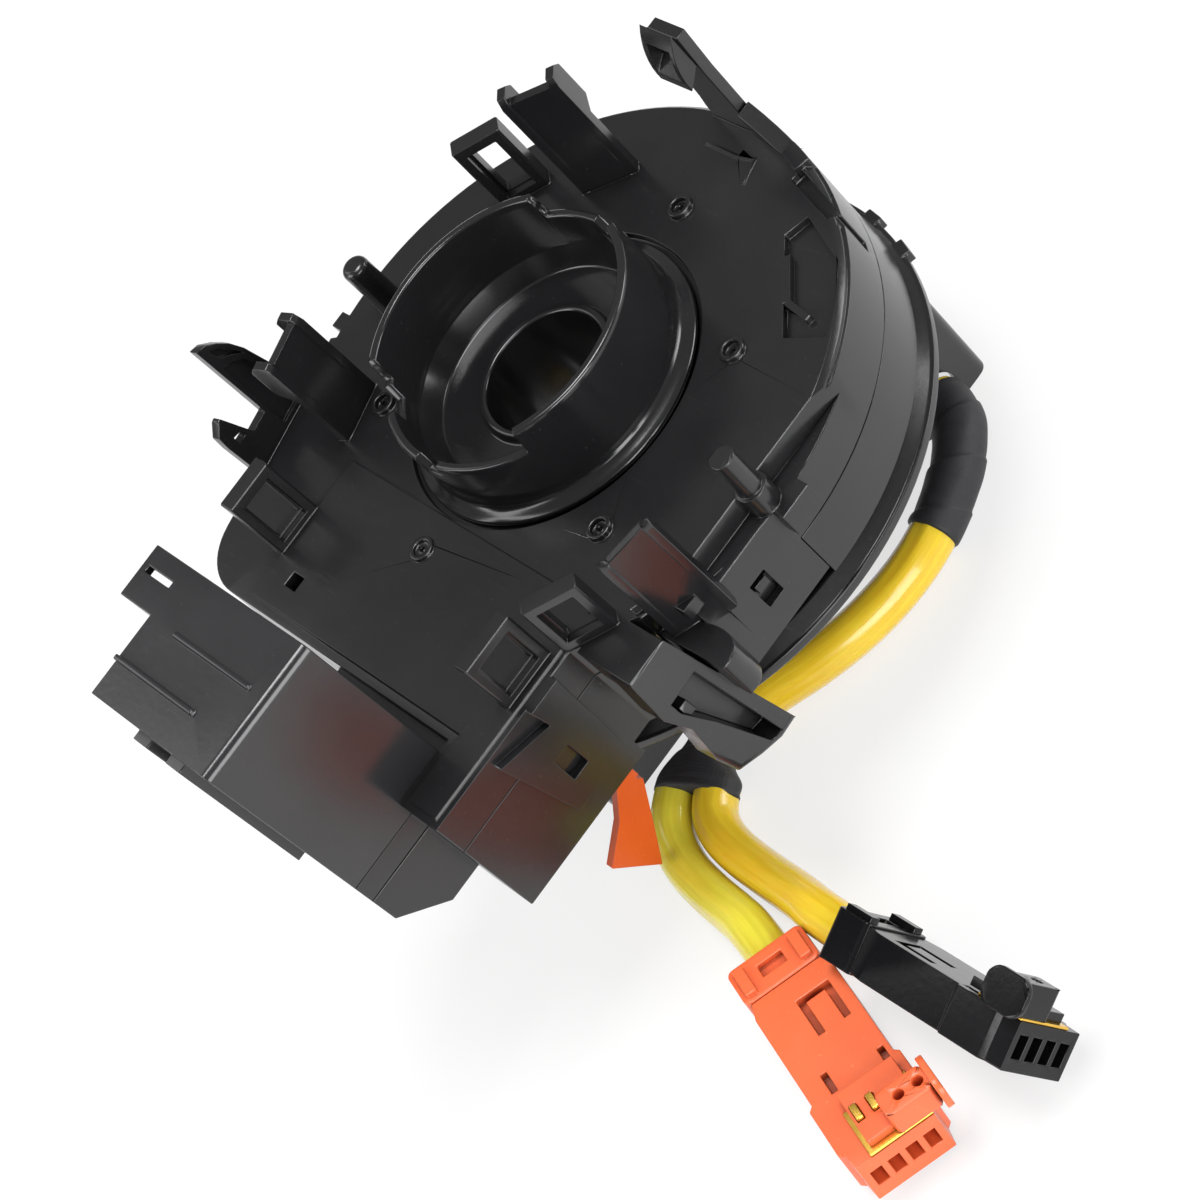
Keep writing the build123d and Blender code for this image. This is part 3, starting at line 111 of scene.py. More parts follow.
class Wiring:
    """A node tree. put() fills a socket, and node() adds a node."""

    def __init__(self, tree):
        self.tree = tree

    def put(self, socket, value):
        """Links a Value, or sets a plain number, colour or vector."""
        if isinstance(value, Value):
            self.tree.links.new(value.socket, socket)
        else:
            socket.default_value = value

    def node(self, kind, settings, *inputs, out=0, **named):
        """A node of a kind, with its settings made first, then its inputs by order or by name.

        None leaves an input as it is. out is the number or the name of the output that is wanted.
        """
        made = self.tree.nodes.new(kind)
        for key, value in settings.items():
            setattr(made, key, value)
        for socket, value in zip(made.inputs, inputs):
            if value is not None:
                self.put(socket, value)
        for key, value in named.items():
            self.put(made.inputs[key.replace("_", " ")], value)
        return Value(self, made.outputs[out])

    def between(self, low, high, value, start=0.0, end=1.0):
        """A number that runs from low to high as value runs from start to end, held at both ends."""
        return self.node("ShaderNodeMapRange", {"clamp": True}, value, start, end, low, high)

    def share(self, value, start=0.0, end=1.0):
        """0 where value is under start, 1 where it is over end, and an even run between."""
        return self.between(0.0, 1.0, value, start, end)

    def ray_is(self, kind):
        """1 for rays of one kind, such as Camera or Glossy, and 0 for all others."""
        return self.node("ShaderNodeLightPath", {}, out=f"Is {kind} Ray")


class Paint(Wiring):
    """One material, with its finish on its Principled shader."""

    def __init__(self, name):
        self.material = bpy.data.materials.new(name)
        self.material.use_nodes = True
        super().__init__(self.material.node_tree)
        self.shader = self.tree.nodes["Principled BSDF"]

    def place(self):
        """The point in the part's own frame, in metres."""
        return self.node("ShaderNodeTexCoord", {}, out="Object")

    def along_surface(self):
        """The piece's own UV: round it from 0 to 1, and along it from 0 to 1."""
        return self.node("ShaderNodeTexCoord", {}, out="UV")

    def stretched(self, at, scale):
        """A place with each of its axes scaled, so that a pattern on it runs long one way."""
        return self.node("ShaderNodeVectorMath", {"operation": "MULTIPLY"}, at, scale)

    def noise(self, cells, detail=3.0, roughness=0.5, at=None):
        """Cloudy noise from 0 to 1, with so many cells to the metre, or to a unit of the place in at."""
        return self.node("ShaderNodeTexNoise", {}, Vector=at or self.place(), Scale=cells, Detail=detail,
                         Roughness=roughness)

    def mix(self, share, first, second):
        """A colour between two others. Each is a Value or plain red, green and blue."""
        first, second = (c if isinstance(c, Value) else (*c, 1) for c in (first, second))
        return self.node("ShaderNodeMix", {"data_type": "RGBA"}, share, *OTHER_MIX_SOCKETS, first, second,
                         out=MIXED_COLOUR)

    def bump(self, height, strength, distance, under=None):
        """A normal from a height, where 1 stands for distance in metres, on another normal if given."""
        inputs = {"Height": height, "Strength": strength, "Distance": distance}
        if under is not None:
            inputs["Normal"] = under
        return self.node("ShaderNodeBump", {}, **inputs)

    def finish(self, colour, roughness, normal=None, **fixed):
        """Base colour, roughness and normal, and plain numbers for the shader's other sockets."""
        self.put(self.shader.inputs["Base Color"], colour)
        self.put(self.shader.inputs["Roughness"], roughness)
        if normal is not None:
            self.put(self.shader.inputs["Normal"], normal)
        for key, value in fixed.items():
            self.put(self.shader.inputs[key.replace("_", " ")], value)
        return self.material


# Moulded plastic: cells to the metre, and ranges where a pattern grows from nothing to full
FLOW_CELLS = 38.0
FLOW_CONTRAST = 1.6
GRAIN_CELLS = 900.0
BROAD_CELLS = 12.0
SCRATCH_CELLS = 1500.0
SCRATCH_STRETCH = (1.0, 0.06, 0.4)
SCRATCH_RANGE = (0.66, 0.74)
SPECK_CELLS = 1900.0
SPECK_RANGE = (0.73, 0.79)
SPECK_STRENGTH = 0.35
DUST_GAIN = 2.6
DUST_LIFT = 0.02
# Painted shade in crevices: the Ambient Occlusion reach in metres, its samples, the range of its value over
# which the shade fades out, and the shaded colour as a share of the dark tone
PAINTED_SHADE_REACH = 0.0016
PAINTED_SHADE_SAMPLES = 6
PAINTED_SHADE_RANGE = (0.3, 0.8)
PAINTED_SHADE_TONE = 0.3


def moulded_plastic(name, dark, light, smooth, rough, grain=0.5, ior=1.5):
    """Moulded plastic: flow marks, specks, painted shade in crevices, uneven gloss, fine grain and hairline
    scratches.
    """
    paint = Paint(name)
    place = paint.place()
    flow = paint.noise(FLOW_CELLS, detail=5.0, roughness=0.6, at=place)
    fine = paint.noise(GRAIN_CELLS, detail=2.0, at=place)
    broad = paint.noise(BROAD_CELLS, detail=2.0, at=place)
    hairs = paint.noise(SCRATCH_CELLS, detail=1.0, at=paint.stretched(place, SCRATCH_STRETCH))
    scratches = paint.share(hairs, *SCRATCH_RANGE)
    specks = paint.share(paint.noise(SPECK_CELLS, detail=1.0, at=place), *SPECK_RANGE)

    colour = paint.mix(paint.share((flow - 0.5) * FLOW_CONTRAST + 0.5), dark, light)
    dust = [min(1.0, c * DUST_GAIN + DUST_LIFT) for c in light]
    colour = paint.mix(specks * SPECK_STRENGTH, colour, dust)
    # Painted shade: the colour darkens towards a third of the dark tone where Ambient Occlusion finds other
    # surfaces close by
    open_share = paint.node("ShaderNodeAmbientOcclusion", {"samples": PAINTED_SHADE_SAMPLES}, out="AO",
                            Distance=PAINTED_SHADE_REACH)
    painted_shade = [c * PAINTED_SHADE_TONE for c in dark]
    colour = paint.mix(paint.share(open_share, *PAINTED_SHADE_RANGE), painted_shade, colour)

    gloss = paint.between(smooth, rough, flow * 0.5 + broad * 0.5 + scratches * 0.25)
    relief = paint.bump(fine, strength=grain * 0.25, distance=0.0001)
    relief = paint.bump(scratches, strength=0.05, distance=0.00004, under=relief)
    relief = paint.bump(broad, strength=0.08, distance=0.0008, under=relief)
    return paint.finish(colour, gloss, relief, IOR=ior)


# Sleeves: cells to the metre, and cells round and along a sleeve for its draw marks
CLOUD_CELLS = 60.0
RIPPLE_CELLS = 240.0
DRAW_MARKS = (26.0, 3.0, 1.0)
SHADE_RANGE = (0.35, 0.8)


def sleeve_vinyl(name, deep, bright):
    """Glossy yellow vinyl sleeve: deeper colour in patches, long draw marks and soft ripples along it."""
    paint = Paint(name)
    cloud = paint.noise(CLOUD_CELLS)
    draw = paint.noise(1.0, at=paint.stretched(paint.along_surface(), DRAW_MARKS))
    ripple = paint.noise(RIPPLE_CELLS, detail=2.0)
    colour = paint.mix(paint.share(cloud * 0.6 + draw * 0.6, *SHADE_RANGE), deep, bright)
    relief = paint.bump(draw, strength=0.25, distance=0.0004)
    relief = paint.bump(ripple, strength=0.1, distance=0.0006, under=relief)
    return paint.finish(colour, paint.between(0.14, 0.3, cloud), relief, Coat_Weight=0.4, Coat_Roughness=0.06,
                        Subsurface_Weight=0.2, Subsurface_Scale=0.004)


# Tape: threads and creases are counted round and along the whole wrap, and fuzz in cells to the metre
WARP_THREADS = (70.0, 1.0, 1.0)
WEFT_THREADS = (1.0, 90.0, 1.0)
THREAD_SCALE = 0.32
THREAD_WANDER = 0.3
CREASES = (3.0, 14.0, 1.0)
FUZZ_CELLS = 500.0


def cloth_tape():
    """Black tape of a close weave: fine threads across and along the strip, with a dull fuzz and creases."""
    paint = Paint("cloth_tape")
    surface = paint.along_surface()
    warp, weft = (
        paint.node("ShaderNodeTexWave", {"bands_direction": direction}, Scale=THREAD_SCALE,
                   Distortion=THREAD_WANDER, Vector=paint.stretched(surface, count))
        for direction, count in (("X", WARP_THREADS), ("Y", WEFT_THREADS))
    )
    weave = warp * 0.5 + weft * 0.5
    fuzz = paint.noise(FUZZ_CELLS, detail=4.0, roughness=0.7)
    crease = paint.noise(1.0, detail=2.0, at=paint.stretched(surface, CREASES))
    colour = paint.mix(weave * 0.3 + fuzz * 0.3 + crease * 0.4, (0.004, 0.004, 0.005), (0.03, 0.03, 0.034))
    relief = paint.bump(weave, strength=0.2, distance=0.0001)
    relief = paint.bump(crease, strength=0.4, distance=0.0005, under=relief)
    relief = paint.bump(fuzz, strength=0.1, distance=0.0002, under=relief)
    return paint.finish(colour, paint.between(0.45, 0.7, fuzz), relief)


def gold_contact():
    """Gold-plated spring metal with fine rolling marks and a duller tarnish in patches."""
    paint = Paint("gold_contact")
    marks = paint.noise(700.0, detail=2.0)
    tarnish = paint.noise(90.0)
    colour = paint.mix(marks * 0.5 + tarnish * 0.5, (0.70, 0.38, 0.04), (0.98, 0.66, 0.14))
    relief = paint.bump(marks, strength=0.1, distance=0.0001)
    return paint.finish(colour, paint.between(0.18, 0.4, tarnish), relief, Metallic=0.9)


def tinned_pin():
    """Tinned brass pin with a faint brushed finish."""
    paint = Paint("tinned_pin")
    marks = paint.noise(1200.0, detail=2.0)
    colour = paint.mix(marks, (0.55, 0.5, 0.42), (0.72, 0.66, 0.55))
    return paint.finish(colour, paint.between(0.2, 0.4, marks), Metallic=1.0)


def film(name, colour):
    """Polyester film with a dull sheen and faint streaks."""
    paint = Paint(name)
    streak = paint.noise(90.0, detail=4.0)
    tint = paint.mix(streak, [c * 0.8 for c in colour], colour)
    return paint.finish(tint, paint.between(0.3, 0.5, streak))


housing_plastic = moulded_plastic("housing_plastic", (0.009, 0.009, 0.010), (0.016, 0.016, 0.017),
                                  smooth=0.15, rough=0.3, ior=1.6)
hub_plastic = moulded_plastic("hub_plastic", (0.008, 0.008, 0.009), (0.015, 0.015, 0.016),
                              smooth=0.12, rough=0.22, grain=0.15, ior=1.62)
block_plastic = moulded_plastic("block_plastic", (0.014, 0.014, 0.015), (0.026, 0.026, 0.028),
                                smooth=0.15, rough=0.26, grain=0.4, ior=1.6)
orange_plastic = moulded_plastic("orange_plastic", (0.80, 0.12, 0.035), (0.90, 0.17, 0.055),
                                 smooth=0.24, rough=0.4)
# The lock tab's orange is a darker copy of orange_plastic: painted shade, for the shadow the tab lies in
# under the box
painted_shade_tab_plastic = moulded_plastic("painted_shade_tab_plastic", (0.5, 0.06, 0.006), (0.66, 0.1, 0.012),
                              smooth=0.28, rough=0.44)
connector_plastic = moulded_plastic("connector_plastic", (0.003, 0.003, 0.0035), (0.007, 0.007, 0.008),
                                    smooth=0.1, rough=0.22, ior=1.4)
olive_vinyl = sleeve_vinyl("olive_vinyl", (0.62, 0.52, 0.03), (0.84, 0.75, 0.07))
warm_vinyl = sleeve_vinyl("warm_vinyl", (0.70, 0.44, 0.01), (0.88, 0.64, 0.04))
black_tape = cloth_tape()
gold = gold_contact()
tin = tinned_pin()
slide_film = film("slide_film", (0.7, 0.7, 0.66))
cable_film = film("cable_film", (0.8, 0.75, 0.62))

node_finish = {
    "rear_housing": housing_plastic,
    "front_cover": housing_plastic,
    "rotor_front": housing_plastic,
    "vehicle_connector_block": block_plastic,
    "outer_lead_block": block_plastic,
    "inner_lead_block": block_plastic,
    "vehicle_pins": tin,
    "switch_pins": tin,
    "slide_sheet_rear": slide_film,
    "slide_sheet_front": slide_film,
    "flat_cable": cable_film,
    "lock_tab": painted_shade_tab_plastic,
    "orange_connector_body": orange_plastic,
    "orange_connector_cap": orange_plastic,
    "orange_connector_nose": orange_plastic,
    "orange_contact_leaf": gold,
    "black_connector_body": connector_plastic,
    "black_connector_cap": connector_plastic,
    "black_connector_nose": connector_plastic,
    "black_contact_leaf": gold,
}

# Edges of the CAD nodes, in metres: points nearer than MERGE_REACH are one, and edges sharper than
# EDGE_ANGLE are rounded, a little less on FINE_NODES
MERGE_REACH = 0.00002
EDGE_ROUND = 0.0002
FINE_EDGE_ROUND = 0.00018
FINE_NODES = ("rear_housing", "front_cover", "lock_tab")
EDGE_ANGLE = radians(32)
EDGE_SEGMENTS = 2
LARGE_FACE_WEIGHT = 100


def dress_nodes():
    """Gives each CAD node its material, and breaks its sharp edges as a mould does."""
    for name, finish in node_finish.items():
        obj = nodes[name]
        obj.data.materials.clear()
        obj.data.materials.append(finish)
        weld = obj.modifiers.new("weld", "WELD")
        weld.merge_threshold = MERGE_REACH
        edge = obj.modifiers.new("edge", "BEVEL")
        edge.width = FINE_EDGE_ROUND if name in FINE_NODES else EDGE_ROUND
        edge.segments = EDGE_SEGMENTS
        edge.use_clamp_overlap = False
        edge.limit_method = "ANGLE"
        edge.angle_limit = EDGE_ANGLE
        smooth = obj.modifiers.new("normals", "WEIGHTED_NORMAL")
        smooth.weight = LARGE_FACE_WEIGHT
        smooth_faces(obj.data)


def smooth_faces(mesh):
    """Every face of a mesh is shaded smooth."""
    mesh.polygons.foreach_set("use_smooth", np.ones(len(mesh.polygons), dtype=bool))


# Surfaces worked out on grids

DOUBLES_REACH = 1e-7


def grid_piece(name, points, finish, body, stands_for, closed_rows=False):
    """A closed surface from a grid of points, rows along it and columns round it.

    Cell (row, column) becomes the face of its four neighbours, the last column joins the first, and each
    corner's UV is its column's and row's share of the whole. Points of a row that coincide become one.
    """
    rows, columns = points.shape[:2]
    row = np.arange(rows if closed_rows else rows - 1)[:, None]
    column = np.arange(columns)[None, :]
    next_row = (row + 1) % rows
    next_column = (column + 1) % columns
    corner_rows = np.stack(np.broadcast_arrays(row, row, next_row, next_row), axis=-1)
    corner_columns = np.stack(np.broadcast_arrays(column, next_column, next_column, column), axis=-1)
    corner_rows, corner_columns = np.broadcast_arrays(corner_rows, corner_columns)
    corners = (corner_rows * columns + corner_columns).reshape(-1, 4)
    mesh = bpy.data.meshes.new(name)
    mesh.from_pydata(points.reshape(-1, 3).tolist(), [], corners.tolist())

    across = np.stack(np.broadcast_arrays(column, column + 1, column + 1, column), axis=-1) / columns
    along = np.stack(np.broadcast_arrays(row, row, row + 1, row + 1), axis=-1) / rows
    across, along = np.broadcast_arrays(across, along)
    uv = np.stack([across, along], axis=-1).reshape(-1)
    mesh.uv_layers.new(name="surface").data.foreach_set("uv", uv.astype(np.float32))

    work = bmesh.new()
    work.from_mesh(mesh)
    bmesh.ops.remove_doubles(work, verts=work.verts, dist=DOUBLES_REACH)
    bmesh.ops.recalc_face_normals(work, faces=work.faces)
    work.to_mesh(mesh)
    work.free()
    smooth_faces(mesh)
    mesh.materials.append(finish)
    obj = bpy.data.objects.new(name, mesh)
    bpy.context.scene.collection.objects.link(obj)
    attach(obj, body)
    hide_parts(stands_for)
    return obj


def ramp(values, start, end):
    """A smooth step: 0 before start, 1 after end, and three t squared less two t cubed between."""
    t = np.clip((values - start) / (end - start), 0, 1)
    return t * t * (3 - 2 * t)


def window(angles, start, end, soft):
    """1 for angles between start and end, in degrees round the circle, and 0 elsewhere, with soft ends."""
    half = (end - start) / 2
    away = np.abs((angles - (start + end) / 2 + 180) % 360 - 180)
    return 1 - ramp(away, half - soft / 2, half + soft / 2)


# Hub

# Heights in millimetres as in the part's source, and spans in degrees round the shaft axis
HUB_TOP = 16.8
HUB_LOW_TOP = 12.0
HUB_NOTCH_Z = 8.6
HUB_LOW_SPANS = ((130.0, 234.0), (-20.0, 29.0))
HUB_NOTCHES = ((134.0, 148.0), (178.0, 190.0), (-14.0, 2.0))
STEP_SOFTNESS = 0.9
HUB_COLUMNS = 720
# A side of the profile longer than LONG_SIDE gets a point at CORNER_REACH from each end
LONG_SIDE = 1.0
CORNER_REACH = 0.15


def with_corners_held(profile):
    """A closed profile with two more points on each long side, close to its ends.

    They keep the smooth shading of a corner within that corner.
    """
    held = []
    for start, end in zip(profile, np.roll(profile, -1, axis=0)):
        held.append(start)
        side = np.linalg.norm((end - start)[:2])
        if side > LONG_SIDE:
            step = (end - start) * CORNER_REACH / side
            held += [start + step, end - step]
    return np.array(held)


def hub_profile():
    """The hub's section as points of radius, height and share, in millimetres.

    It runs round the lower end of the bore's sleeve, down and up the barrel, round the foot, up the outside
    of the rim, down its inside to the cup's floor, and round the bore's upper lip.
    """
    bore, bore_outer, cup, barrel_inner, barrel = 11.0, 12.4, 20.0, 21.0, 23.0
    rim_inner, rim, foot = 22.4, 23.9, 26.2
    bottom, barrel_bottom, foot_bottom, under_floor, floor = -27.2, -23.0, -0.7, -0.4, 1.2
    lip_top, cup_step = 2.6, 5.0
    bevel = 0.3
    return np.array([
        # Lower end of the sleeve
        (bore, bottom + bevel, 0), (bore + bevel, bottom, 0),
        (bore_outer - bevel, bottom, 0), (bore_outer, bottom + bevel, 0),
        # Barrel
        (bore_outer, under_floor, 0), (barrel_inner, under_floor, 0),
        (barrel_inner, barrel_bottom, 0), (barrel, barrel_bottom, 0), (barrel, foot_bottom, 0),
        # Foot
        (foot - 0.15, foot_bottom, 0), (foot, foot_bottom + 0.15, 0), (foot, foot_bottom + 0.7, 0),
        (foot - 0.2, foot_bottom + 0.95, 0), (foot - 0.9, foot_bottom + 1.25, 0),
        (rim + 0.9, foot_bottom + 1.6, 0), (rim + 0.45, foot_bottom + 1.85, 0),
        (rim + 0.1, foot_bottom + 2.4, 0),
        # Rim, outside, top and inside
        (rim, foot_bottom + 3.4, 0.05), (rim, HUB_TOP - 1.2, 1), (rim, HUB_TOP - 0.4, 1),
        (rim - 0.12, HUB_TOP - 0.12, 1), (rim - 0.4, HUB_TOP, 1), (rim_inner + 0.3, HUB_TOP, 1),
        (rim_inner + 0.08, HUB_TOP - 0.1, 1), (rim_inner, HUB_TOP - 0.35, 1),
        (rim_inner - 0.1, HUB_TOP - 1.4, 1), (rim_inner - 0.36, cup_step + 1.2, 0.05),
        # Cup
        (rim_inner - 0.4, cup_step + 0.35, 0), (rim_inner - 0.49, cup_step, 0),
        (cup + 0.12, floor + 0.18, 0), (cup - 0.12, floor, 0),
        # Lip of the bore
        (bore_outer + 0.5, floor, 0), (bore_outer + 0.1, floor + 0.2, 0), (bore_outer, floor + 0.5, 0),
        (bore_outer - 0.1, lip_top - 0.2, 0), (bore_outer - 0.4, lip_top, 0), (bore + 0.4, lip_top, 0),
        (bore + 0.1, lip_top - 0.1, 0), (bore, lip_top - 0.5, 0),
    ])


def hub_surface():
    """The hub as its closed profile carried round the shaft axis.

    A profile point's height falls by its share of the rim's drop at that angle: nothing on the high
    stretches, more on the low ones, most in the notches.
    """
    profile = with_corners_held(hub_profile())
    angle = np.arange(HUB_COLUMNS) * 360 / HUB_COLUMNS
    drop = np.zeros(HUB_COLUMNS)
    for spans, top in ((HUB_LOW_SPANS, HUB_LOW_TOP), (HUB_NOTCHES, HUB_NOTCH_Z)):
        for start, end in spans:
            drop = np.maximum(drop, (HUB_TOP - top) * window(angle, start, end, STEP_SOFTNESS))
    radius, height, share = (profile[:, k][:, None] for k in range(3))
    turn = np.radians(angle)[None, :]
    return np.stack([radius * np.cos(turn), radius * np.sin(turn), height - share * drop], axis=-1) * MM


def make_hub():
    """The hub with its rounded rim, notches and foot."""
    grid_piece("hub_turning", hub_surface(), hub_plastic, "rotor", "rotor_hub",
               closed_rows=True)


# Leads

# Routes of the sleeves, in millimetres, as in the part's source
LEAD_Z = -50.8
BUNDLE_ROUTE = [
    (38.0, -21.0, LEAD_Z),
    (37.2, -26.4, LEAD_Z),
    (32.0, -31.8, LEAD_Z),
    (23.6, -36.2, LEAD_Z),
    (13.0, -38.8, LEAD_Z),
    (1.6, -38.0, LEAD_Z),
    (-9.2, -34.4, LEAD_Z),
    (-18.2, -29.4, LEAD_Z),
    (-25.6, -26.8, LEAD_Z),
    (-31.9, -26.9, LEAD_Z),
    (-36.2, -29.0, LEAD_Z),
]
ORANGE_ROUTE = [
    (-37.92, -25.50, -51.0),
    (-42.31, -27.65, -51.0),
    (-46.4, -31.6, -51.5),
    (-48.8, -37.4, -51.8),
    (-49.8, -44.6, -51.8),
    (-50.3, -51.4, -50.9),
    (-50.97, -58.03, -49.3),
    (-53.2, -65.5, -49.3),
]
BLACK_ROUTE = [
    (-34.55, -32.42, -51.0),
    (-38.32, -34.26, -51.0),
    (-41.0, -38.3, -51.4),
    (-42.1, -44.2, -51.7),
    (-42.4, -52.5, -51.4),
    (-42.6, -61.5, -49.4),
    (-43.42, -69.5, -46.6),
    (-43.3, -77.0, -46.6),
]
BUNDLE_RADIUS = 4.0
SLEEVE_RADIUS = 3.7
# Creases of each sleeve: the start of one round the sleeve in degrees, its drift in radians from end to
# end, its depth as a share of the radius, and its middle and its reach as shares of the length
BUNDLE_FOLDS = ((60, 1.5, 0.05, 0.30, 0.16), (200, -1.0, 0.05, 0.6, 0.2), (120, 0.8, 0.04, 0.85, 0.12))
ORANGE_FOLDS = ((70, 0.7, 0.07, 0.35, 0.25), (130, -0.6, 0.05, 0.75, 0.2), (10, 0.4, 0.04, 0.55, 0.2))
BLACK_FOLDS = ((95, -0.8, 0.06, 0.3, 0.22), (40, 0.9, 0.05, 0.7, 0.25))
# A crease's width and how far beside it its ridge lies, in radians, and the ridge's height against its depth
FOLD_WIDTH = 0.2
RIDGE_AWAY = 0.42
RIDGE_SHARE = 0.5
# How oval a sleeve is, where its long axis starts and how far it turns, in radians
OVAL = 0.018
OVAL_START = 0.6
OVAL_TWIST = 2.2
# Folds where a sleeve is gathered: their reach from each end, their number and their twist, and their depths
GATHER_REACH = 0.07
GATHER_FOLDS = 7
GATHER_TWIST = 9
BUNDLE_GATHER = 0.02
ORANGE_GATHER = 0.05
BLACK_GATHER = 0.04
MOST_SWELL = 1.03
# Grids of the sleeves and wraps: steps of a line to each route point, and the rings' gap and points
LINE_STEPS = 12
RING_GAP = 0.22
RING_POINTS = 72
TAPE_RING_POINTS = 96
# Each wrap's start and end on the bundle, as shares of its length, and its reach and spread past that end
POD_WRAP = (0.012, 0.34, 0, 0)
BRANCH_WRAP = (0.86, 1.0, 2.6, 3.5)
SPREAD_RUN = 8.0
# Tape: how far apart its turns are, its gap over the sleeve, its thickness and a lap's, the share of a turn
# in which its edge rises, how far each end thins, and how deep it wrinkles
WRAP_PITCH = 9.0
TAPE_GAP = 0.12
TAPE_THICKNESS = 0.18
LAP_THICKNESS = 0.3
LAP_EDGE = 0.07
END_RUN = 0.5
WRINKLE_DEPTH = 0.04
# Two waves that make the wrinkles: their number round the tape, and their run along it in radians to the mm
WRINKLE_WAVES = ((5, 0.9), (2, -0.35))


def centre_line(points):
    """Even points, in metres, on a smooth NURBS line of order 3 that a route's points pull, end to end."""
    data = bpy.data.curves.new("route", "CURVE")
    data.dimensions = "3D"
    spline = data.splines.new("NURBS")
    spline.points.add(len(points) - 1)
    for control, point in zip(spline.points, points):
        control.co = (*(v * MM for v in point), 1.0)
    spline.order_u = 3
    spline.use_endpoint_u = True
    spline.resolution_u = LINE_STEPS
    obj = bpy.data.objects.new("route", data)
    bpy.context.scene.collection.objects.link(obj)
    bpy.context.view_layer.update()
    mesh = bpy.data.meshes.new_from_object(obj.evaluated_get(bpy.context.evaluated_depsgraph_get()))
    line = np.empty(len(mesh.vertices) * 3)
    mesh.vertices.foreach_get("co", line)
    line = line.reshape(-1, 3)
    bpy.data.objects.remove(obj)
    bpy.data.curves.remove(data)
    bpy.data.meshes.remove(mesh)
    run = np.concatenate([[0], np.cumsum(np.linalg.norm(np.diff(line, axis=0), axis=1))])
    even = np.linspace(0, run[-1], int(run[-1] / (RING_GAP * MM)) + 1)
    return np.stack([np.interp(even, run, line[:, k]) for k in range(3)], axis=-1)


def tube_surface(line, radius):
    """A tube about a line: each ring stands square to the line, with one axis level and one upright.

    radius is a grid of ring by angle, in metres. A ring of no size closes each end.
    """
    along = np.gradient(line, axis=0)
    along /= np.linalg.norm(along, axis=1)[:, None]
    level = np.cross(along, (0, 0, 1))
    level /= np.linalg.norm(level, axis=1)[:, None]
    upright = np.cross(level, along)
    angle = np.arange(radius.shape[1]) * TURN / radius.shape[1]
    around = level[:, None] * np.cos(angle)[None, :, None] + upright[:, None] * np.sin(angle)[None, :, None]
    rings = line[:, None] + around * radius[..., None]
    first = np.broadcast_to(line[:1, None], (1, *rings.shape[1:]))
    last = np.broadcast_to(line[-1:, None], (1, *rings.shape[1:]))
    return np.concatenate([first, rings, last])


def hill(away, width):
    """A smooth hill: 1 at its middle, and e to the power of minus the square of away over width."""
    return np.exp(-((away / width) ** 2))


def sleeve_radius(line, radius, folds, gather):
    """Radius of a soft sleeve by ring and angle.

    It is the plain radius, a little oval with an axis that turns slowly along the sleeve, less long shallow
    creases that wander round it, each with a low ridge beside it, and less short folds where it is gathered
    at its ends.
    """
    share = np.linspace(0, 1, len(line))[:, None]
    angle = (np.arange(RING_POINTS) * TURN / RING_POINTS)[None, :]
    shape = 1 + OVAL * np.cos(2 * (angle - OVAL_START - OVAL_TWIST * share))
    for start, drift, depth, middle, reach in folds:
        away = (angle - radians(start) - drift * share + np.pi) % TURN - np.pi
        crease = hill(away, FOLD_WIDTH) - RIDGE_SHARE * hill(away - RIDGE_AWAY, FOLD_WIDTH)
        shape = shape - depth * hill(share - middle, reach) * crease
    gathered = hill(share, GATHER_REACH) + hill(1 - share, GATHER_REACH)
    shape = shape - gather * gathered * (0.5 + 0.5 * np.sin(GATHER_FOLDS * angle + GATHER_TWIST * share))
    return radius * MM * np.minimum(shape, MOST_SWELL)


def wind_wrap(name, node, bundle, start, end, reach, spread):
    """Cloth tape wound on part of the bundle.

    A layer's height falls evenly across one pitch of the winding and then steps up again, so each turn's edge
    stands on the turn before it. The ends thin to the sleeve. The line may run straight on past the bundle's
    end by reach, and the rings widen there to ovals, level and spread wider on each side, over both sleeves.
    """
    first, last = (int(share * (len(bundle) - 1)) for share in (start, end))
    line = bundle[first:last + 1]
    if reach:
        ahead = (line[-1] - line[-2]) / np.linalg.norm(line[-1] - line[-2])
        steps = np.arange(RING_GAP, reach, RING_GAP)[:, None] * MM
        line = np.concatenate([line, line[-1] + ahead * steps])
    run = np.arange(len(line))[:, None] * RING_GAP
    angle = (np.arange(TAPE_RING_POINTS) * TURN / TAPE_RING_POINTS)[None, :]
    phase = (run / WRAP_PITCH + angle / TURN) % 1
    lap = ramp(phase, 0.0, LAP_EDGE) * (1 - phase)
    ends = ramp(run, 0, END_RUN) * ramp(run[-1] - run, 0, END_RUN)
    wave, cross_wave = (np.sin(number * angle + along * run) for number, along in WRINKLE_WAVES)
    wrinkle = WRINKLE_DEPTH * wave * cross_wave
    upright = BUNDLE_RADIUS + TAPE_GAP + ends * (TAPE_THICKNESS + LAP_THICKNESS * lap + wrinkle)
    level = upright + spread * ramp(run, run[-1] - SPREAD_RUN, run[-1] - SPREAD_RUN / 4)
    radius = level * upright / np.hypot(upright * np.cos(angle), level * np.sin(angle))
    grid_piece(name, tube_surface(line, radius * MM), black_tape, "rotor", node)


def lay_lead(name, node, line, radius, finish, folds, gather):
    """One sleeve along its line."""
    surface = tube_surface(line, sleeve_radius(line, radius, folds, gather))
    sleeve = grid_piece(name, surface, finish, "rotor", node)


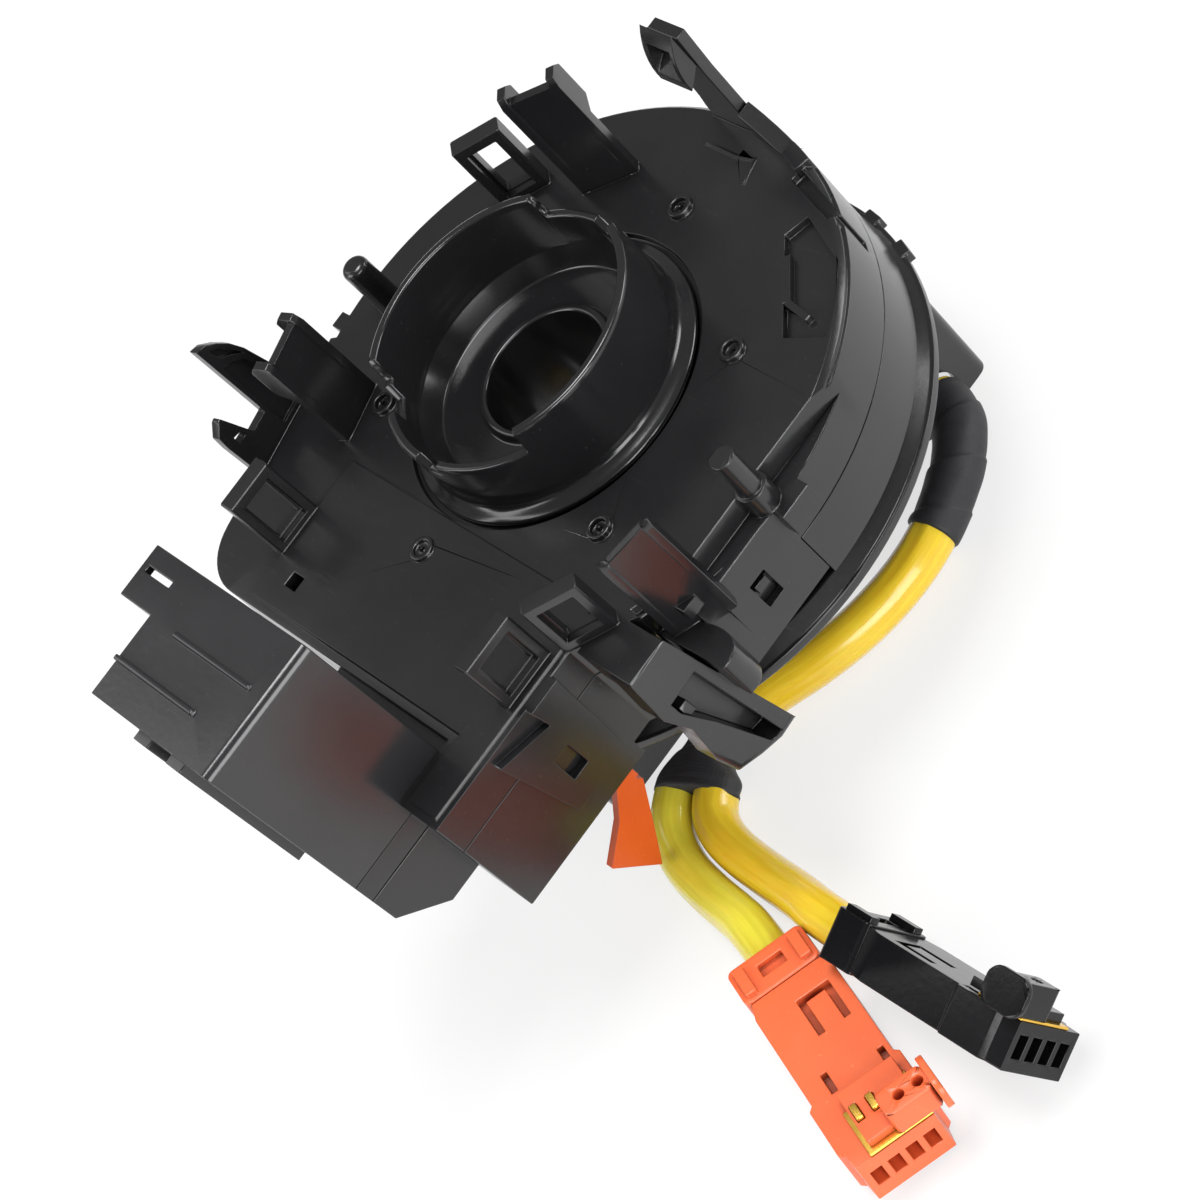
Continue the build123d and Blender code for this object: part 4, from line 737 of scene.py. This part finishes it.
def lay_leads():
    """The bundle from the right pod with its two wraps, then one sleeve to each connector."""
    bundle = centre_line(BUNDLE_ROUTE)
    wind_wrap("pod_wrap", "tape_at_pod", bundle, *POD_WRAP)
    wind_wrap("branch_wrap", "tape_at_branch", bundle, *BRANCH_WRAP)
    lay_lead("bundle_sleeve", "lead_bundle", bundle, BUNDLE_RADIUS, warm_vinyl, BUNDLE_FOLDS, BUNDLE_GATHER)
    lay_lead("orange_sleeve", "lead_orange", centre_line(ORANGE_ROUTE), SLEEVE_RADIUS, olive_vinyl,
             ORANGE_FOLDS, ORANGE_GATHER)
    lay_lead("black_sleeve", "lead_black", centre_line(BLACK_ROUTE), SLEEVE_RADIUS, warm_vinyl,
             BLACK_FOLDS, BLACK_GATHER)


# Studio

WHITE = (1, 1, 1, 1)
# Soft lamps: name, place and side in metres, and power in watts. All face LAMP_TARGET
LAMPS = (
    ("front_lamp", (-0.1, -0.9, 0.25), 0.6, 7.0),
    ("top_lamp", (0.12, 0.05, 0.95), 0.42, 7.0),
    ("left_lamp", (-0.9, 0.25, 0.55), 0.65, 5.0),
    ("right_lamp", (0.85, -0.35, 0.2), 0.4, 3.0),
    ("far_lamp", (-0.32, 0.78, 0.7), 0.45, 1.0),
)
LAMP_TARGET = (-0.02, -0.02, 0.0)
WORLD_LIGHT = 0.22
WORLD_SEEN = 1.0
FLOOR_REACH = 3.0
FLOOR_COLOUR = (0.93, 0.93, 0.93, 1)
FLOOR_ROUGHNESS = 0.9
FLOOR_GLOW = 0.72


def light_studio():
    """White surroundings, dim as a light and white to the camera, and soft lamps on all sides."""
    for name, place, side, power in LAMPS:
        data = bpy.data.lights.new(name, "AREA")
        data.shape = "SQUARE"
        data.size = side
        data.energy = power
        lamp = bpy.data.objects.new(name, data)
        lamp.location = place
        lamp.rotation_mode = "QUATERNION"
        lamp.rotation_quaternion = (Vector(LAMP_TARGET) - Vector(place)).to_track_quat("-Z", "Y")
        bpy.context.scene.collection.objects.link(lamp)

    world = bpy.data.worlds.new("studio")
    bpy.context.scene.world = world
    world.use_nodes = True
    wiring = Wiring(world.node_tree)
    background = world.node_tree.nodes["Background"]
    wiring.put(background.inputs["Color"], WHITE)
    strength = wiring.between(WORLD_LIGHT, WORLD_SEEN, wiring.ray_is("Camera"))
    wiring.put(background.inputs["Strength"], strength)


def lay_floor():
    """A wide pale floor just under the part. To the camera and in reflections it is nearly white."""
    mesh = bpy.data.meshes.new("floor")
    corners = [(x * FLOOR_REACH, y * FLOOR_REACH, FLOOR_Z) for x, y in ((-1, -1), (1, -1), (1, 1), (-1, 1))]
    mesh.from_pydata(corners, [], [(0, 1, 2, 3)])
    floor = bpy.data.objects.new("floor", mesh)
    bpy.context.scene.collection.objects.link(floor)
    paint = Paint("floor")
    seen = paint.node("ShaderNodeMath", {"operation": "MAXIMUM"}, paint.ray_is("Camera"),
                      paint.ray_is("Glossy"))
    glow = paint.node("ShaderNodeEmission", {}, WHITE)
    surface = Value(paint, paint.shader.outputs["BSDF"])
    look = paint.node("ShaderNodeMixShader", {}, seen * FLOOR_GLOW, surface, glow)
    paint.put(paint.tree.nodes["Material Output"].inputs["Surface"], look)
    paint.finish(FLOOR_COLOUR, FLOOR_ROUGHNESS)
    mesh.materials.append(paint.material)


aim_camera()
dress_nodes()
make_hub()
lay_leads()
light_studio()
lay_floor()
bpy.context.scene.view_settings.view_transform = "Standard"
